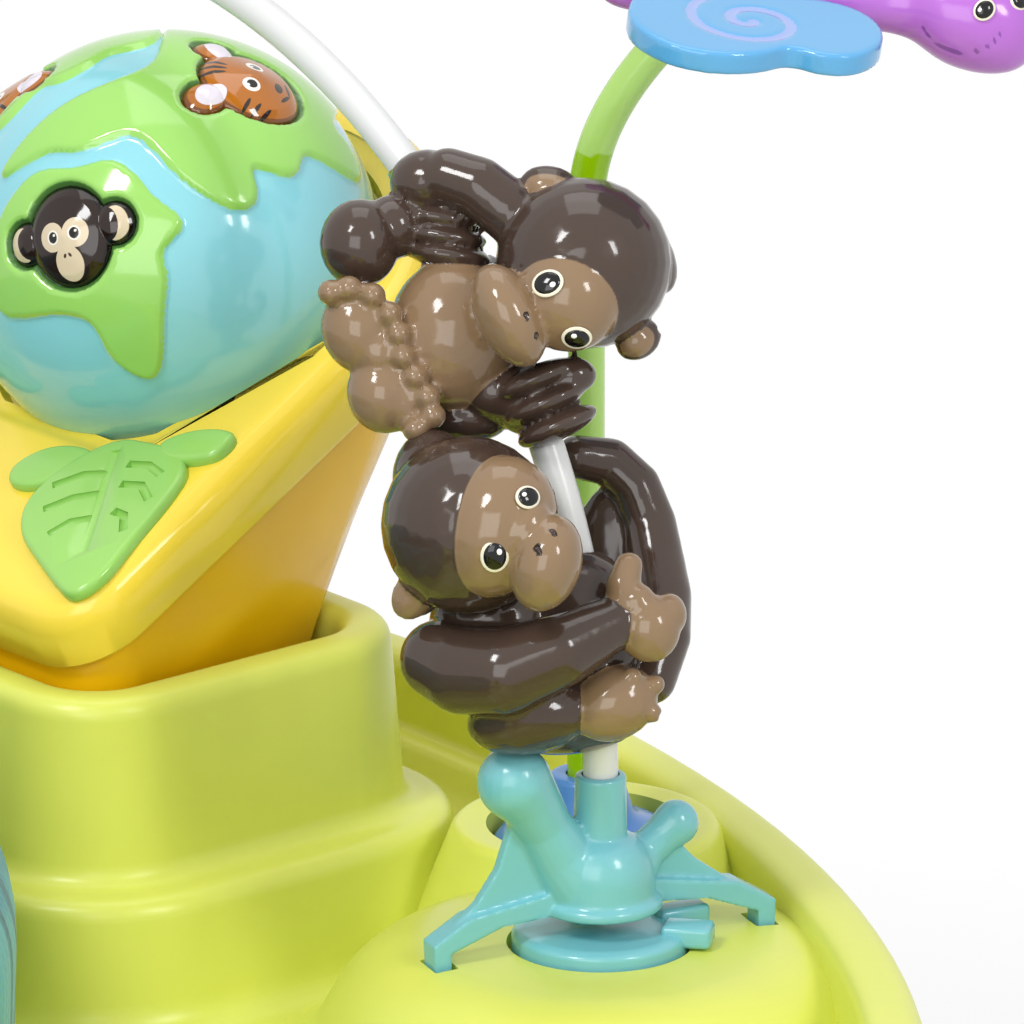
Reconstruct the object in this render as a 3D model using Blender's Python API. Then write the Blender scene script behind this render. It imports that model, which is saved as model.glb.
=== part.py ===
"""Activity jumper: a round toy tray on three sprung legs, with a turning fabric seat.

The tray carries an electronic globe console, a toy arch with two climbing gorillas, a butterfly on
a post, a ring post and a sprout.  Metres, +Z up.  The origin is on the floor under the seat's axis,
+Y is the way the child faces (towards the console) and +X is the child's right.
"""
import math

import bmesh
import bpy
from mathutils import Matrix, Vector

# Fits
GAP = 0.0003
SLIDE_GAP = 0.0005

# Tray
PLATFORM_Z = 0.455
TRAY_RADIUS = 0.387
RIM_RISE = 0.004
RIM_WIDTH = 0.012
RIM_LEDGE = 0.016
MOUND_RISE = 0.026
SKIRT_DEPTH = 0.052
TRAY_WALL = 0.004
DECK_WALL = 0.005
TRAY_SIDES = 44
MOUND_SIDES = 16
MOUND_TOP = 0.044
MOUND_FOOT = 0.062

# Turning seat
SEAT_HOLE_RADIUS = 0.200
LEDGE_WIDTH = 0.016
LEDGE_DROP = 0.017
LEDGE_WALL = 0.006
ROLLER_COUNT = 6
ROLLER_RADIUS = 0.005
ROLLER_LENGTH = 0.009
ROLLER_STAND = 0.003
RING_WALL = 0.004
RING_PLAY = 0.004
RING_RISE = 0.042
RING_DROP = 0.020
COLLAR_OUT = 0.027
COLLAR_IN = 0.022
COLLAR_RISE = 0.040
COLLAR_TUFTS = 9
COLLAR_TUFT_DEPTH = 0.0025
SLING_DEPTH = 0.155
SLING_WALL = 0.004
LEG_HOLE_RADIUS = 0.050
LEG_HOLE_SPREAD = 0.074

# Legs, springs and base
LEG_COUNT = 3
LEG_SIDES = 10
LEG_FIRST_TURN = math.radians(30)
LEG_CIRCLE = 0.300
LEG_RADIUS = 0.019
LEG_SOCKET_WALL = 0.008
LEG_SOCKET_DEPTH = 0.099
LEG_TOP_GAP = 0.012
LEG_COLLAR_Z = 0.165
LEG_COLLAR_WALL = 0.008
LEG_COLLAR_RIM = 0.012
HEIGHT_STEP = 0.038
HEIGHT_STEPS = 3
GROOVE_DEPTH = 0.0015
GROOVE_HEIGHT = 0.008
LATCH_WIDTH = 0.014
LATCH_HEIGHT = 0.018
LATCH_RISE = 0.016
LATCH_PAD = 0.005
BOUNCE_TRAVEL = 0.030
BASE_RADIUS = 0.372
BASE_HEIGHT = 0.046
BASE_WALL = 0.006
BASE_SIDES = 40
POD_TOP_Z = 0.090
POD_RADIUS = 0.034
LEG_FOOT_Z = 0.062
SPRING_TURNS = 4
SPRING_POINTS = 8
SPRING_WIRE = 0.0025
SPRING_RADIUS = 0.0245
PAD_RADIUS = 0.020
PAD_HEIGHT = 0.004

# Console block moulded on the tray
BLOCK_HALF = 0.063
BLOCK_FRONT = 0.234
BLOCK_REAR = 0.323
BLOCK_RISE = 0.040
BLOCK_CORNER = 0.020
BLOCK_WALL = 0.009
SHELF_RISE = 0.002
SHELF_FLARE = 0.013
POCKET_FLOOR = 0.020

# Console: sloping face with a globe dome
GLOBE_RADIUS = 0.0434
GLOBE_Y = 0.3074
GLOBE_RISE = 0.107
FACE_SLOPE = math.radians(31)
FACE_DROP = 0.0088
FACE_HALF = 0.054
FACE_ARCH = 0.0555
FACE_FRONT = 0.088
FACE_CORNER = 0.016
FACE_DEPTH = 0.015
FACE_LIP = 0.005
FACE_SIDES = 30
MOAT_WIDTH = 0.007
MOAT_DEPTH = 0.0045
SEAT_DEPTH = 0.006
CONSOLE_PLAY = 0.003
LAND_RISE = 0.0012
DOME_SIDES = 26
DOME_STEPS = 8
BUTTON_RADIUS = 0.0115
BUTTON_EAR = 0.24
BUTTON_TRAVEL = 0.002
BUTTON_RISE = 0.0028
BUTTON_SEAT = 0.005
MONKEY_WAY = (15.9, -37.9, 14.0)
TIGER_WAY = (19.5, 5.3, 38.4)
LION_WAY = (-27.0, -19.0, 28.0)
LAND_FRONT_WAY = (0.7286, -0.6113, 0.309)
LAND_BACK_WAY = (-0.80, 0.33, 0.50)
GRILLE_THICK = 0.0022
GRILLE_LENGTH = 0.042
GRILLE_WIDTH = 0.034
DOOR_HALF_WIDTH = 0.024
DOOR_HALF_HEIGHT = 0.013
DOOR_THICK = 0.004
DOOR_LEAN = math.radians(20)

# Toy arch
POST_X = 0.146
POST_Y = 0.299
ARCH_TUBE_RADIUS = 0.0035
ARCH_RISE = 0.138
SOCKET_RISE = 0.035
SOCKET_DEPTH = 0.022
ARM_TURN = math.radians(73)
ARM_REACH = 0.0365
ARM_WIDTH = 0.007
WEB_HALF = 0.0013
FOOT_DEPTH = 0.0055
FOOT_THICK = 0.004
LOCK_RADIUS = 0.018
LOCK_TOP = 0.006
LOCK_DEPTH = 0.003
FIGURE_TURN = math.radians(50)
FIGURE_BORE = 0.0007
FIGURE_VOXEL = 0.0021
FIGURE_SHARE = 0.075

# Far bosses, butterfly post and ring post
BOSS_X = 0.099
BOSS_SETBACK = 0.052
BOSS_Y = TRAY_RADIUS - BOSS_SETBACK
BOSS_RISE = 0.005
BOSS_RADIUS = 0.0275
BOSS_HOLE = 0.020
BOSS_DEPTH = 0.016
BEND_POST_RADIUS = 0.004
BEND_POST_RISE = 0.166
BEND_POST_LEAN = 0.018
WING_ROOT = 0.0081
WING_FORWARD = 0.012
WING_HEIGHT = 0.0085
RING_STEM_RADIUS = 0.006
RING_STEM_RISE = 0.095
SPIN_RING_RADIUS = 0.021
SPIN_RING_TUBE = 0.009
SPIN_RING_COUNT = 3

# Side mounds: sprout on the right, snack well on the left
SIDE_RADIUS = 0.275
SIDE_TURN = math.radians(13)
SPROUT_RISE = 0.060
SPROUT_STEM = 0.006
WELL_RADIUS = 0.042
WELL_DEPTH = 0.016

# Worked out from the sizes above
DECK_Z = PLATFORM_Z - MOUND_RISE
SKIRT_Z = DECK_Z - SKIRT_DEPTH
UNDER_Z = DECK_Z - DECK_WALL
LEDGE_Z = DECK_Z - LEDGE_DROP
LEDGE_RADIUS = SEAT_HOLE_RADIUS - LEDGE_WIDTH
ROLLER_Z = LEDGE_Z + ROLLER_STAND
FLANGE_Z = ROLLER_Z + ROLLER_RADIUS + GAP
FLANGE_TOP_Z = FLANGE_Z + RING_WALL
RING_RADIUS = LEDGE_RADIUS - RING_PLAY
RING_INNER = RING_RADIUS - RING_WALL
RING_TOP_Z = FLANGE_TOP_Z + RING_RISE
SOCKET_BOTTOM_Z = UNDER_Z - LEG_SOCKET_DEPTH
LEG_TOP_Z = UNDER_Z - LEG_TOP_GAP
ARCH_Z = PLATFORM_Z + SOCKET_RISE
FACE_CENTRE = Vector((
    0.0,
    GLOBE_Y + FACE_DROP * math.sin(FACE_SLOPE),
    PLATFORM_Z + GLOBE_RISE - FACE_DROP * math.cos(FACE_SLOPE),
))
FULL_TURN = 2 * math.pi
SEAT_SIDES = 4 * COLLAR_TUFTS


def clear_scene():
    for item in list(bpy.data.objects):
        bpy.data.objects.remove(item, do_unlink=True)


def finish_material(name, colour, roughness, metallic=0.0):
    material = bpy.data.materials.new(name)
    material.use_nodes = True
    shader = material.node_tree.nodes["Principled BSDF"]
    shader.inputs["Base Color"].default_value = (*colour, 1.0)
    shader.inputs["Roughness"].default_value = roughness
    shader.inputs["Metallic"].default_value = metallic
    material.diffuse_color = (*colour, 1.0)
    return material


def object_from(name, mesh_build, material=None, frame=None, smooth_angle=40):
    """Turn a finished bmesh into a linked object, faces outwards, shaded smooth by angle."""
    bmesh.ops.recalc_face_normals(mesh_build, faces=mesh_build.faces[:])
    mesh = bpy.data.meshes.new(name)
    mesh_build.to_mesh(mesh)
    mesh_build.free()
    mesh.shade_smooth()
    mesh.set_sharp_from_angle(angle=math.radians(smooth_angle))
    item = bpy.data.objects.new(name, mesh)
    bpy.context.collection.objects.link(item)
    if material:
        mesh.materials.append(material)
    if frame:
        item.parent = frame
    return item


def empty_frame(name, location, turn=(0.0, 0.0, 0.0), parent=None):
    frame = bpy.data.objects.new(name, None)
    frame.location = location
    frame.rotation_euler = turn
    frame.parent = parent
    bpy.context.collection.objects.link(frame)
    return frame


def combine(target, tools, operation):
    for tool in tools:
        tool.hide_render = True
        tool.display_type = "WIRE"
        step = target.modifiers.new(operation.lower() + "_" + tool.name, "BOOLEAN")
        step.operation = operation
        step.solver = "EXACT"
        step.object = tool
    return target


def turn_angles(count):
    return [FULL_TURN * step / count for step in range(count)]


def bridge(build, low, high):
    """Faces between two rings of points; a ring of one point is a pole."""
    count = max(len(low), len(high))
    for step in range(count):
        after = (step + 1) % count
        corners = [low[step % len(low)], low[after % len(low)]]
        corners += [high[after % len(high)], high[step % len(high)]]
        build.faces.new(list(dict.fromkeys(corners)))


def turned(name, outline, segments, material=None, frame=None, smooth_angle=40):
    """Body of revolution about +Z; an outline that starts on the axis also ends on it."""
    build = bmesh.new()
    rings = []
    for radius, height in outline:
        if radius < 1e-7:
            rings.append([Vector((0.0, 0.0, height))])
            continue
        rings.append([
            build.verts.new((radius * math.cos(turn), radius * math.sin(turn), height))
            for turn in turn_angles(segments)
        ])
    if len(rings[0]) == 1:
        close_end(build, rings.pop(0), rings[0])
        close_end(build, rings.pop(), rings[-1])
    else:
        rings.append(rings[0])
    for low, high in zip(rings, rings[1:]):
        bridge(build, low, high)
    return object_from(name, build, material, frame, smooth_angle)


def close_end(build, pole, ring):
    """Close a turned shape at the axis: a flat face where the pole is level with its ring."""
    if abs(pole[0].z - ring[0].co.z) < 1e-7:
        build.faces.new(ring)
    else:
        bridge(build, ring, [build.verts.new(pole[0])])


def lofted(name, sections, material=None, frame=None, smooth_angle=40):
    """Skin over rings of equal count, closed by a flat face at each end."""
    build = bmesh.new()
    rings = [[build.verts.new(point) for point in section] for section in sections]
    for low, high in zip(rings, rings[1:]):
        bridge(build, low, high)
    build.faces.new(rings[0])
    build.faces.new(rings[-1])
    return object_from(name, build, material, frame, smooth_angle)


def swept(name, path, radii, sides, material=None, frame=None):
    """Round tube along a path, with one radius for each point."""
    path = [Vector(point) for point in path]
    sections = []
    across = None
    for place, point in enumerate(path):
        along = (path[min(place + 1, len(path) - 1)] - path[max(place - 1, 0)]).normalized()
        if across is None:
            across = along.orthogonal().normalized()
        across = (across - along * across.dot(along)).normalized()
        beside = along.cross(across)
        sections.append([
            point + radii[place] * (across * math.cos(turn) + beside * math.sin(turn))
            for turn in turn_angles(sides)
        ])
    return lofted(name, sections, material, frame)


def extruded(name, outline, low, high, axes="XYZ", material=None, frame=None):
    """Prism of a flat outline; axes gives the outline's two axes and then the extrusion's."""
    order = ["XYZ".index(letter) for letter in axes]

    def placed(point, level):
        coords = [0.0, 0.0, 0.0]
        coords[order[0]], coords[order[1]], coords[order[2]] = point[0], point[1], level
        return coords

    sections = [[placed(point, level) for point in outline] for level in (low, high)]
    return lofted(name, sections, material, frame)


def block(name, low, high, material=None, frame=None):
    corners = [(low[0], low[1]), (high[0], low[1]), (high[0], high[1]), (low[0], high[1])]
    return extruded(name, corners, low[2], high[2], "XYZ", material, frame)


def rounded_rectangle(half, front, rear, corner, per_corner=5):
    points = []
    centres = [
        (half - corner, rear - corner, 0.0),
        (corner - half, rear - corner, 0.5 * math.pi),
        (corner - half, front + corner, math.pi),
        (half - corner, front + corner, 1.5 * math.pi),
    ]
    for x, y, start in centres:
        for step in range(per_corner):
            turn = start + 0.5 * math.pi * step / (per_corner - 1)
            points.append((x + corner * math.cos(turn), y + corner * math.sin(turn)))
    return points


def ray_points(outline, centre, count, inset=0.0):
    """Points on a convex outline at even angles about a centre, moved in by an inset."""
    points = []
    for turn in turn_angles(count):
        ray = Vector((math.cos(turn), math.sin(turn)))
        reach = 0.0
        for start, end in zip(outline, outline[1:] + outline[:1]):
            start = Vector(start) - Vector(centre)
            edge = Vector(end) - Vector(centre) - start
            across = ray.x * edge.y - ray.y * edge.x
            if abs(across) < 1e-12:
                continue
            distance = (start.x * edge.y - start.y * edge.x) / across
            share = (start.x * ray.y - start.y * ray.x) / across
            if distance > 0 and -1e-6 <= share <= 1 + 1e-6:
                reach = max(reach, distance)
        points.append((centre[0] + ray.x * (reach - inset), centre[1] + ray.y * (reach - inset)))
    return points


def ball(build, centre, radii, rings=8):
    """Add an ellipsoid to a bmesh."""
    made = bmesh.ops.create_uvsphere(build, u_segments=2 * rings, v_segments=rings, radius=1.0)
    place = Matrix.Translation(centre) @ Matrix.Diagonal((*radii, 1.0))
    bmesh.ops.transform(build, matrix=place, verts=made["verts"])


def polar(radius, turn, height):
    return Vector((radius * math.cos(turn), radius * math.sin(turn), height))


# Base, springs and legs

def leg_turns():
    return [LEG_FIRST_TURN + FULL_TURN * step / LEG_COUNT for step in range(LEG_COUNT)]


def make_base(dish_green, rubber):
    rim = BASE_RADIUS
    dish = turned("base_dish", [
        (0.0, BASE_WALL), (rim - 0.095, BASE_WALL), (rim - 0.040, BASE_WALL + 0.006),
        (rim - 0.016, BASE_HEIGHT - 0.006), (rim - 0.009, BASE_HEIGHT), (rim, BASE_HEIGHT - 0.004),
        (rim, BASE_HEIGHT - 0.012), (rim - 0.012, BASE_WALL), (rim - 0.026, 0.0), (0.0, 0.0),
    ], BASE_SIDES, dish_green)
    pods = []
    cuts = []
    for name, turn in zip("abc", leg_turns()):
        frame = empty_frame("pod_" + name, polar(LEG_CIRCLE, turn, 0.0), (0.0, 0.0, turn))
        pods.append(turned("pod_body_" + name, [
            (0.0, BASE_WALL / 2), (POD_RADIUS + 0.006, BASE_WALL / 2), (POD_RADIUS + 0.003, BASE_HEIGHT),
            (POD_RADIUS, POD_TOP_Z - 0.004), (POD_RADIUS - 0.004, POD_TOP_Z), (0.0, POD_TOP_Z),
        ], 16, None, frame))
        bore_z = LEG_FOOT_Z - BOUNCE_TRAVEL - GAP
        cuts.append(bore("pod_bore_" + name, LEG_RADIUS + GAP, bore_z, POD_TOP_Z + 0.01, LEG_SIDES, frame))
        cuts.append(bore("pad_seat_" + name, PAD_RADIUS + GAP, -0.01, PAD_HEIGHT + GAP, 16, frame))
        turned("foot_pad_" + name, [
            (0.0, 0.0), (PAD_RADIUS - 0.001, 0.0), (PAD_RADIUS, 0.001), (PAD_RADIUS, PAD_HEIGHT),
            (0.0, PAD_HEIGHT),
        ], 16, rubber, frame)
    combine(dish, pods, "UNION")
    combine(dish, cuts, "DIFFERENCE")


def spring_points():
    """Centre line of one coil: closed end turns, an even pitch between them."""
    low = POD_TOP_Z + SPRING_WIRE + GAP
    high = LEG_COLLAR_Z - SPRING_WIRE - GAP
    per_turn = SPRING_POINTS
    count = SPRING_TURNS * per_turn
    points = []
    for step in range(count + 1):
        turn = FULL_TURN * step / per_turn
        points.append(Vector((
            SPRING_RADIUS * math.cos(turn), SPRING_RADIUS * math.sin(turn), low + (high - low) * step / count,
        )))
    return points


def least_self_gap(points, wire):
    least = 1.0
    for place, point in enumerate(points):
        for other in points[place + SPRING_POINTS // 2:]:
            least = min(least, (point - other).length - 2 * wire)
    return least


def make_springs_and_legs(steel, leg_white):
    points = spring_points()
    print("spring self gap in mm:", round(1000 * least_self_gap(points, SPRING_WIRE), 2))
    for name, turn in zip("abc", leg_turns()):
        foot = polar(LEG_CIRCLE, turn, 0.0)
        curve = bpy.data.curves.new("leg_spring_" + name, "CURVE")
        curve.dimensions = "3D"
        curve.bevel_depth = SPRING_WIRE
        curve.bevel_resolution = 1
        curve.use_fill_caps = True
        spline = curve.splines.new("POLY")
        spline.points.add(len(points) - 1)
        for knot, point in zip(spline.points, points):
            knot.co = (*point, 1.0)
        curve.materials.append(steel)
        spring = bpy.data.objects.new("leg_spring_" + name, curve)
        spring.location = foot
        bpy.context.collection.objects.link(spring)
        outline = [
            (0.0, LEG_FOOT_Z), (LEG_RADIUS - 0.002, LEG_FOOT_Z), (LEG_RADIUS, LEG_FOOT_Z + 0.002),
            (LEG_RADIUS, LEG_COLLAR_Z), (LEG_RADIUS + LEG_COLLAR_RIM, LEG_COLLAR_Z),
            (LEG_RADIUS + LEG_COLLAR_RIM, LEG_COLLAR_Z + LEG_COLLAR_WALL / 2),
            (LEG_RADIUS, LEG_COLLAR_Z + LEG_COLLAR_WALL),
        ]
        for step in range(HEIGHT_STEPS):
            middle = SOCKET_BOTTOM_Z + LATCH_RISE - (HEIGHT_STEPS - 1 - step) * HEIGHT_STEP
            outline += [
                (LEG_RADIUS, middle - GROOVE_HEIGHT), (LEG_RADIUS - GROOVE_DEPTH, middle - GROOVE_HEIGHT / 2),
                (LEG_RADIUS - GROOVE_DEPTH, middle + GROOVE_HEIGHT / 2), (LEG_RADIUS, middle + GROOVE_HEIGHT),
            ]
        outline += [
            (LEG_RADIUS, LEG_TOP_Z - 0.002), (LEG_RADIUS - 0.002, LEG_TOP_Z), (0.0, LEG_TOP_Z),
        ]
        post = turned("leg_post_" + name, outline, LEG_SIDES, leg_white)
        post.location = foot


# Tray

def block_ring(grow, height):
    outline = rounded_rectangle(
        BLOCK_HALF + grow, BLOCK_FRONT - grow, BLOCK_REAR + grow, BLOCK_CORNER + grow, 6)
    return [(x, y, height) for x, y in outline]


def mound(name, place):
    """Solid of revolution with a broad soft shoulder, sunk a little into the deck."""
    top = PLATFORM_Z
    step = (MOUND_FOOT - MOUND_TOP) / 4
    item = turned(name, [
        (0.0, top), (MOUND_TOP - step, top), (MOUND_TOP, top - 0.06 * MOUND_RISE),
        (MOUND_TOP + 1.6 * step, top - 0.28 * MOUND_RISE), (MOUND_TOP + 2.7 * step, top - 0.62 * MOUND_RISE),
        (MOUND_FOOT, DECK_Z), (MOUND_FOOT, DECK_Z - DECK_WALL / 2), (0.0, DECK_Z - DECK_WALL / 2),
    ], MOUND_SIDES)
    item.location = (place[0], place[1], 0.0)
    return item


def boss(name, place):
    """Post boss: a steep mound with a raised round ring."""
    top = PLATFORM_Z + BOSS_RISE
    item = turned(name, [
        (0.0, top - 0.003), (BOSS_RADIUS - 0.005, top - 0.001), (BOSS_RADIUS - 0.0025, top),
        (BOSS_RADIUS, top - 0.002), (BOSS_RADIUS + 0.004, top - 0.012), (BOSS_RADIUS + 0.010, DECK_Z),
        (BOSS_RADIUS + 0.010, DECK_Z - DECK_WALL / 2), (0.0, DECK_Z - DECK_WALL / 2),
    ], 20)
    item.location = (place[0], place[1], 0.0)
    return item


def bore(name, radius, low, high, segments, frame=None):
    """Cutter of a round hole; its flats touch the radius, so a round piece of that size clears it."""
    corner = radius / math.cos(math.pi / segments)
    return turned(name, [(0.0, low), (corner, low), (corner, high), (0.0, high)], segments, None, frame)


def hole(name, place, radius, low, high, segments=18):
    item = bore(name, radius, low, high, segments)
    item.location = (place[0], place[1], 0.0)
    return item


def side_place(side):
    return polar(SIDE_RADIUS, SIDE_TURN, 0.0) if side > 0 else polar(SIDE_RADIUS, math.pi - SIDE_TURN, 0.0)


def arm_turn(side):
    return ARM_TURN if side > 0 else math.pi - ARM_TURN


def make_tray(lime):
    rim_z = PLATFORM_Z + RIM_RISE
    edge = TRAY_RADIUS
    inner = edge - RIM_WIDTH
    tray = turned("tray", [
        (edge - 0.006, rim_z), (edge - 0.0015, rim_z - 0.003), (edge, rim_z - 0.010),
        (edge - 0.006, SKIRT_Z), (edge - 0.006 - TRAY_WALL, SKIRT_Z), (inner - 0.010, UNDER_Z),
        (SEAT_HOLE_RADIUS + TRAY_WALL, UNDER_Z),
        (SEAT_HOLE_RADIUS + TRAY_WALL, LEDGE_Z - LEDGE_WALL), (LEDGE_RADIUS, LEDGE_Z - LEDGE_WALL),
        (LEDGE_RADIUS, LEDGE_Z), (SEAT_HOLE_RADIUS, LEDGE_Z), (SEAT_HOLE_RADIUS, DECK_Z),
        (inner - RIM_LEDGE - 0.010, DECK_Z),
        (inner - RIM_LEDGE * 0.6, DECK_Z + 0.006), (inner - 0.005, rim_z - RIM_LEDGE),
        (inner - 0.001, rim_z - RIM_LEDGE + 0.001), (inner, rim_z - 0.003), (inner + 0.003, rim_z),
    ], TRAY_SIDES, lime)
    shelf_z = PLATFORM_Z + SHELF_RISE
    top_z = PLATFORM_Z + BLOCK_RISE
    tower = lofted("block_body", [
        block_ring(SHELF_FLARE + 0.004, DECK_Z - DECK_WALL / 2),
        block_ring(SHELF_FLARE + 0.003, DECK_Z + 0.006),
        block_ring(SHELF_FLARE, shelf_z - 0.005),
        block_ring(SHELF_FLARE - 0.003, shelf_z - 0.001),
        block_ring(0.006, shelf_z + 0.001),
        block_ring(0.003, shelf_z + 0.005),
        block_ring(0.001, top_z - 0.003),
        block_ring(-0.002, top_z),
    ])
    adds = [tower]
    cuts = []
    rim_limit = turned("rim_limit", [
        (0.0, UNDER_Z), (edge - RIM_WIDTH / 2, UNDER_Z), (edge - RIM_WIDTH / 2, top_z), (0.0, top_z),
    ], TRAY_SIDES)
    pocket = rounded_rectangle(
        BLOCK_HALF - BLOCK_WALL, BLOCK_FRONT + BLOCK_WALL, BLOCK_REAR - BLOCK_WALL,
        BLOCK_CORNER - BLOCK_WALL + 0.004)
    cuts.append(extruded("block_pocket", pocket, PLATFORM_Z - POCKET_FLOOR, top_z + 0.01))
    for side, word in ((1, "right"), (-1, "left")):
        post = (side * POST_X, POST_Y)
        arch_mound = mound("arch_mound_" + word, post)
        adds.append(combine(arch_mound, [rim_limit], "INTERSECT"))
        adds.append(combine(boss("boss_" + word, (side * BOSS_X, BOSS_Y)), [rim_limit], "INTERSECT"))
        adds.append(mound("side_mound_" + word, side_place(side)))
        cuts.append(hole("lock_seat_" + word, post, LOCK_RADIUS + GAP, PLATFORM_Z - LOCK_DEPTH - GAP,
                         PLATFORM_Z + 0.01))
        cuts.append(hole("boss_hole_" + word, (side * BOSS_X, BOSS_Y), BOSS_HOLE,
                         PLATFORM_Z + BOSS_RISE - BOSS_DEPTH, PLATFORM_Z + 0.02))
        slots = empty_frame("slot_frame_" + word, (*post, PLATFORM_Z), (0.0, 0.0, arm_turn(side)))
        for way, end in ((1, "out"), (-1, "in")):
            middle = way * (ARM_REACH - FOOT_THICK / 2)
            reach = FOOT_THICK / 2 + GAP
            cuts.append(block(
                f"foot_slot_{word}_{end}", (middle - reach, -ARM_WIDTH / 2 - GAP, -FOOT_DEPTH - GAP),
                (middle + reach, ARM_WIDTH / 2 + GAP, 0.01), None, slots))
    cuts.append(hole("sprout_hole", side_place(1), SPROUT_STEM + GAP, PLATFORM_Z - 0.012, PLATFORM_Z + 0.01))
    well = turned("snack_well", [
        (0.0, PLATFORM_Z - WELL_DEPTH), (WELL_RADIUS - 0.010, PLATFORM_Z - WELL_DEPTH),
        (WELL_RADIUS - 0.003, PLATFORM_Z - WELL_DEPTH + 0.005), (WELL_RADIUS, PLATFORM_Z + 0.001),
        (0.0, PLATFORM_Z + 0.001),
    ], 32)
    well.location = side_place(-1)
    cuts.append(well)
    for name, turn in zip("abc", leg_turns()):
        frame = empty_frame("socket_" + name, polar(LEG_CIRCLE, turn, 0.0), (0.0, 0.0, turn))
        outer = LEG_RADIUS + LEG_SOCKET_WALL
        adds.append(turned("leg_socket_" + name, [
            (0.0, SOCKET_BOTTOM_Z), (outer - 0.001, SOCKET_BOTTOM_Z), (outer, SOCKET_BOTTOM_Z + 0.001),
            (outer + 0.002, UNDER_Z - 0.008), (outer + 0.010, UNDER_Z + DECK_WALL / 2),
            (0.0, UNDER_Z + DECK_WALL / 2),
        ], LEG_SIDES, None, frame))
        cuts.append(bore("leg_bore_" + name, LEG_RADIUS + GAP, SOCKET_BOTTOM_Z - 0.01, LEG_TOP_Z + GAP,
                         LEG_SIDES, frame))
        middle = SOCKET_BOTTOM_Z + LATCH_RISE
        cuts.append(block(
            "latch_slot_" + name,
            (LEG_RADIUS / 2, -LATCH_WIDTH / 2 - GAP, middle - LATCH_HEIGHT / 2 - GAP),
            (LEG_RADIUS + LEG_SOCKET_WALL + 0.02, LATCH_WIDTH / 2 + GAP, middle + LATCH_HEIGHT / 2 + GAP),
            None, frame))
    half = math.sqrt(ROLLER_RADIUS ** 2 - ROLLER_STAND ** 2) + GAP
    reach = ROLLER_LENGTH / 2 + GAP
    middle = LEDGE_RADIUS + LEDGE_WIDTH / 2
    for step, turn in enumerate(turn_angles(ROLLER_COUNT)):
        frame = empty_frame(f"roller_seat_{step + 1}", (0.0, 0.0, 0.0), (0.0, 0.0, turn))
        cuts.append(block(
            f"roller_cut_{step + 1}", (middle - reach, -half, ROLLER_Z - ROLLER_RADIUS - GAP),
            (middle + reach, half, LEDGE_Z + 0.004), None, frame))
    combine(tray, adds, "UNION")
    combine(tray, cuts, "DIFFERENCE")


def make_latches(orange):
    """Spring latch of each leg socket; its nose ends at the bore and it pulls straight out."""
    for name, turn in zip("abc", leg_turns()):
        middle = SOCKET_BOTTOM_Z + LATCH_RISE
        inner = LEG_RADIUS + SLIDE_GAP
        outer = LEG_RADIUS + LEG_SOCKET_WALL + LATCH_PAD
        half, tall = LATCH_WIDTH / 2, LATCH_HEIGHT / 2
        outline = [
            (inner, middle - tall), (outer - 0.003, middle - tall), (outer, middle - tall + 0.004),
            (outer - 0.0015, middle), (outer, middle + tall - 0.004), (outer - 0.003, middle + tall),
            (inner, middle + tall),
        ]
        latch = extruded("height_latch_" + name, outline, -half, half, "XZY", orange)
        latch.location = polar(LEG_CIRCLE, turn, 0.0)
        latch.rotation_euler = (0.0, 0.0, turn)


# Seat

def make_seat(ring_grey, fabric, rubber):
    turned("seat_ring", [
        (RING_INNER, FLANGE_Z - RING_DROP), (RING_RADIUS, FLANGE_Z - RING_DROP), (RING_RADIUS, FLANGE_Z),
        (SEAT_HOLE_RADIUS - 0.0015, FLANGE_Z), (SEAT_HOLE_RADIUS - 0.0015, FLANGE_TOP_Z),
        (RING_RADIUS, FLANGE_TOP_Z), (RING_RADIUS, RING_TOP_Z), (RING_INNER, RING_TOP_Z),
    ], SEAT_SIDES, ring_grey)
    make_collar(fabric)
    make_sling(fabric)
    middle = LEDGE_RADIUS + LEDGE_WIDTH / 2
    half = ROLLER_LENGTH / 2
    for step, turn in enumerate(turn_angles(ROLLER_COUNT)):
        frame = empty_frame(f"roller_axis_{step + 1}", polar(middle, turn, ROLLER_Z),
                            (0.0, 0.5 * math.pi, turn))
        turned(f"seat_roller_{step + 1}", [
            (0.0, -half), (ROLLER_RADIUS - 0.001, -half), (ROLLER_RADIUS, -half + 0.001),
            (ROLLER_RADIUS, half - 0.001), (ROLLER_RADIUS - 0.001, half), (0.0, half),
        ], 10, rubber, frame)


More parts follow.
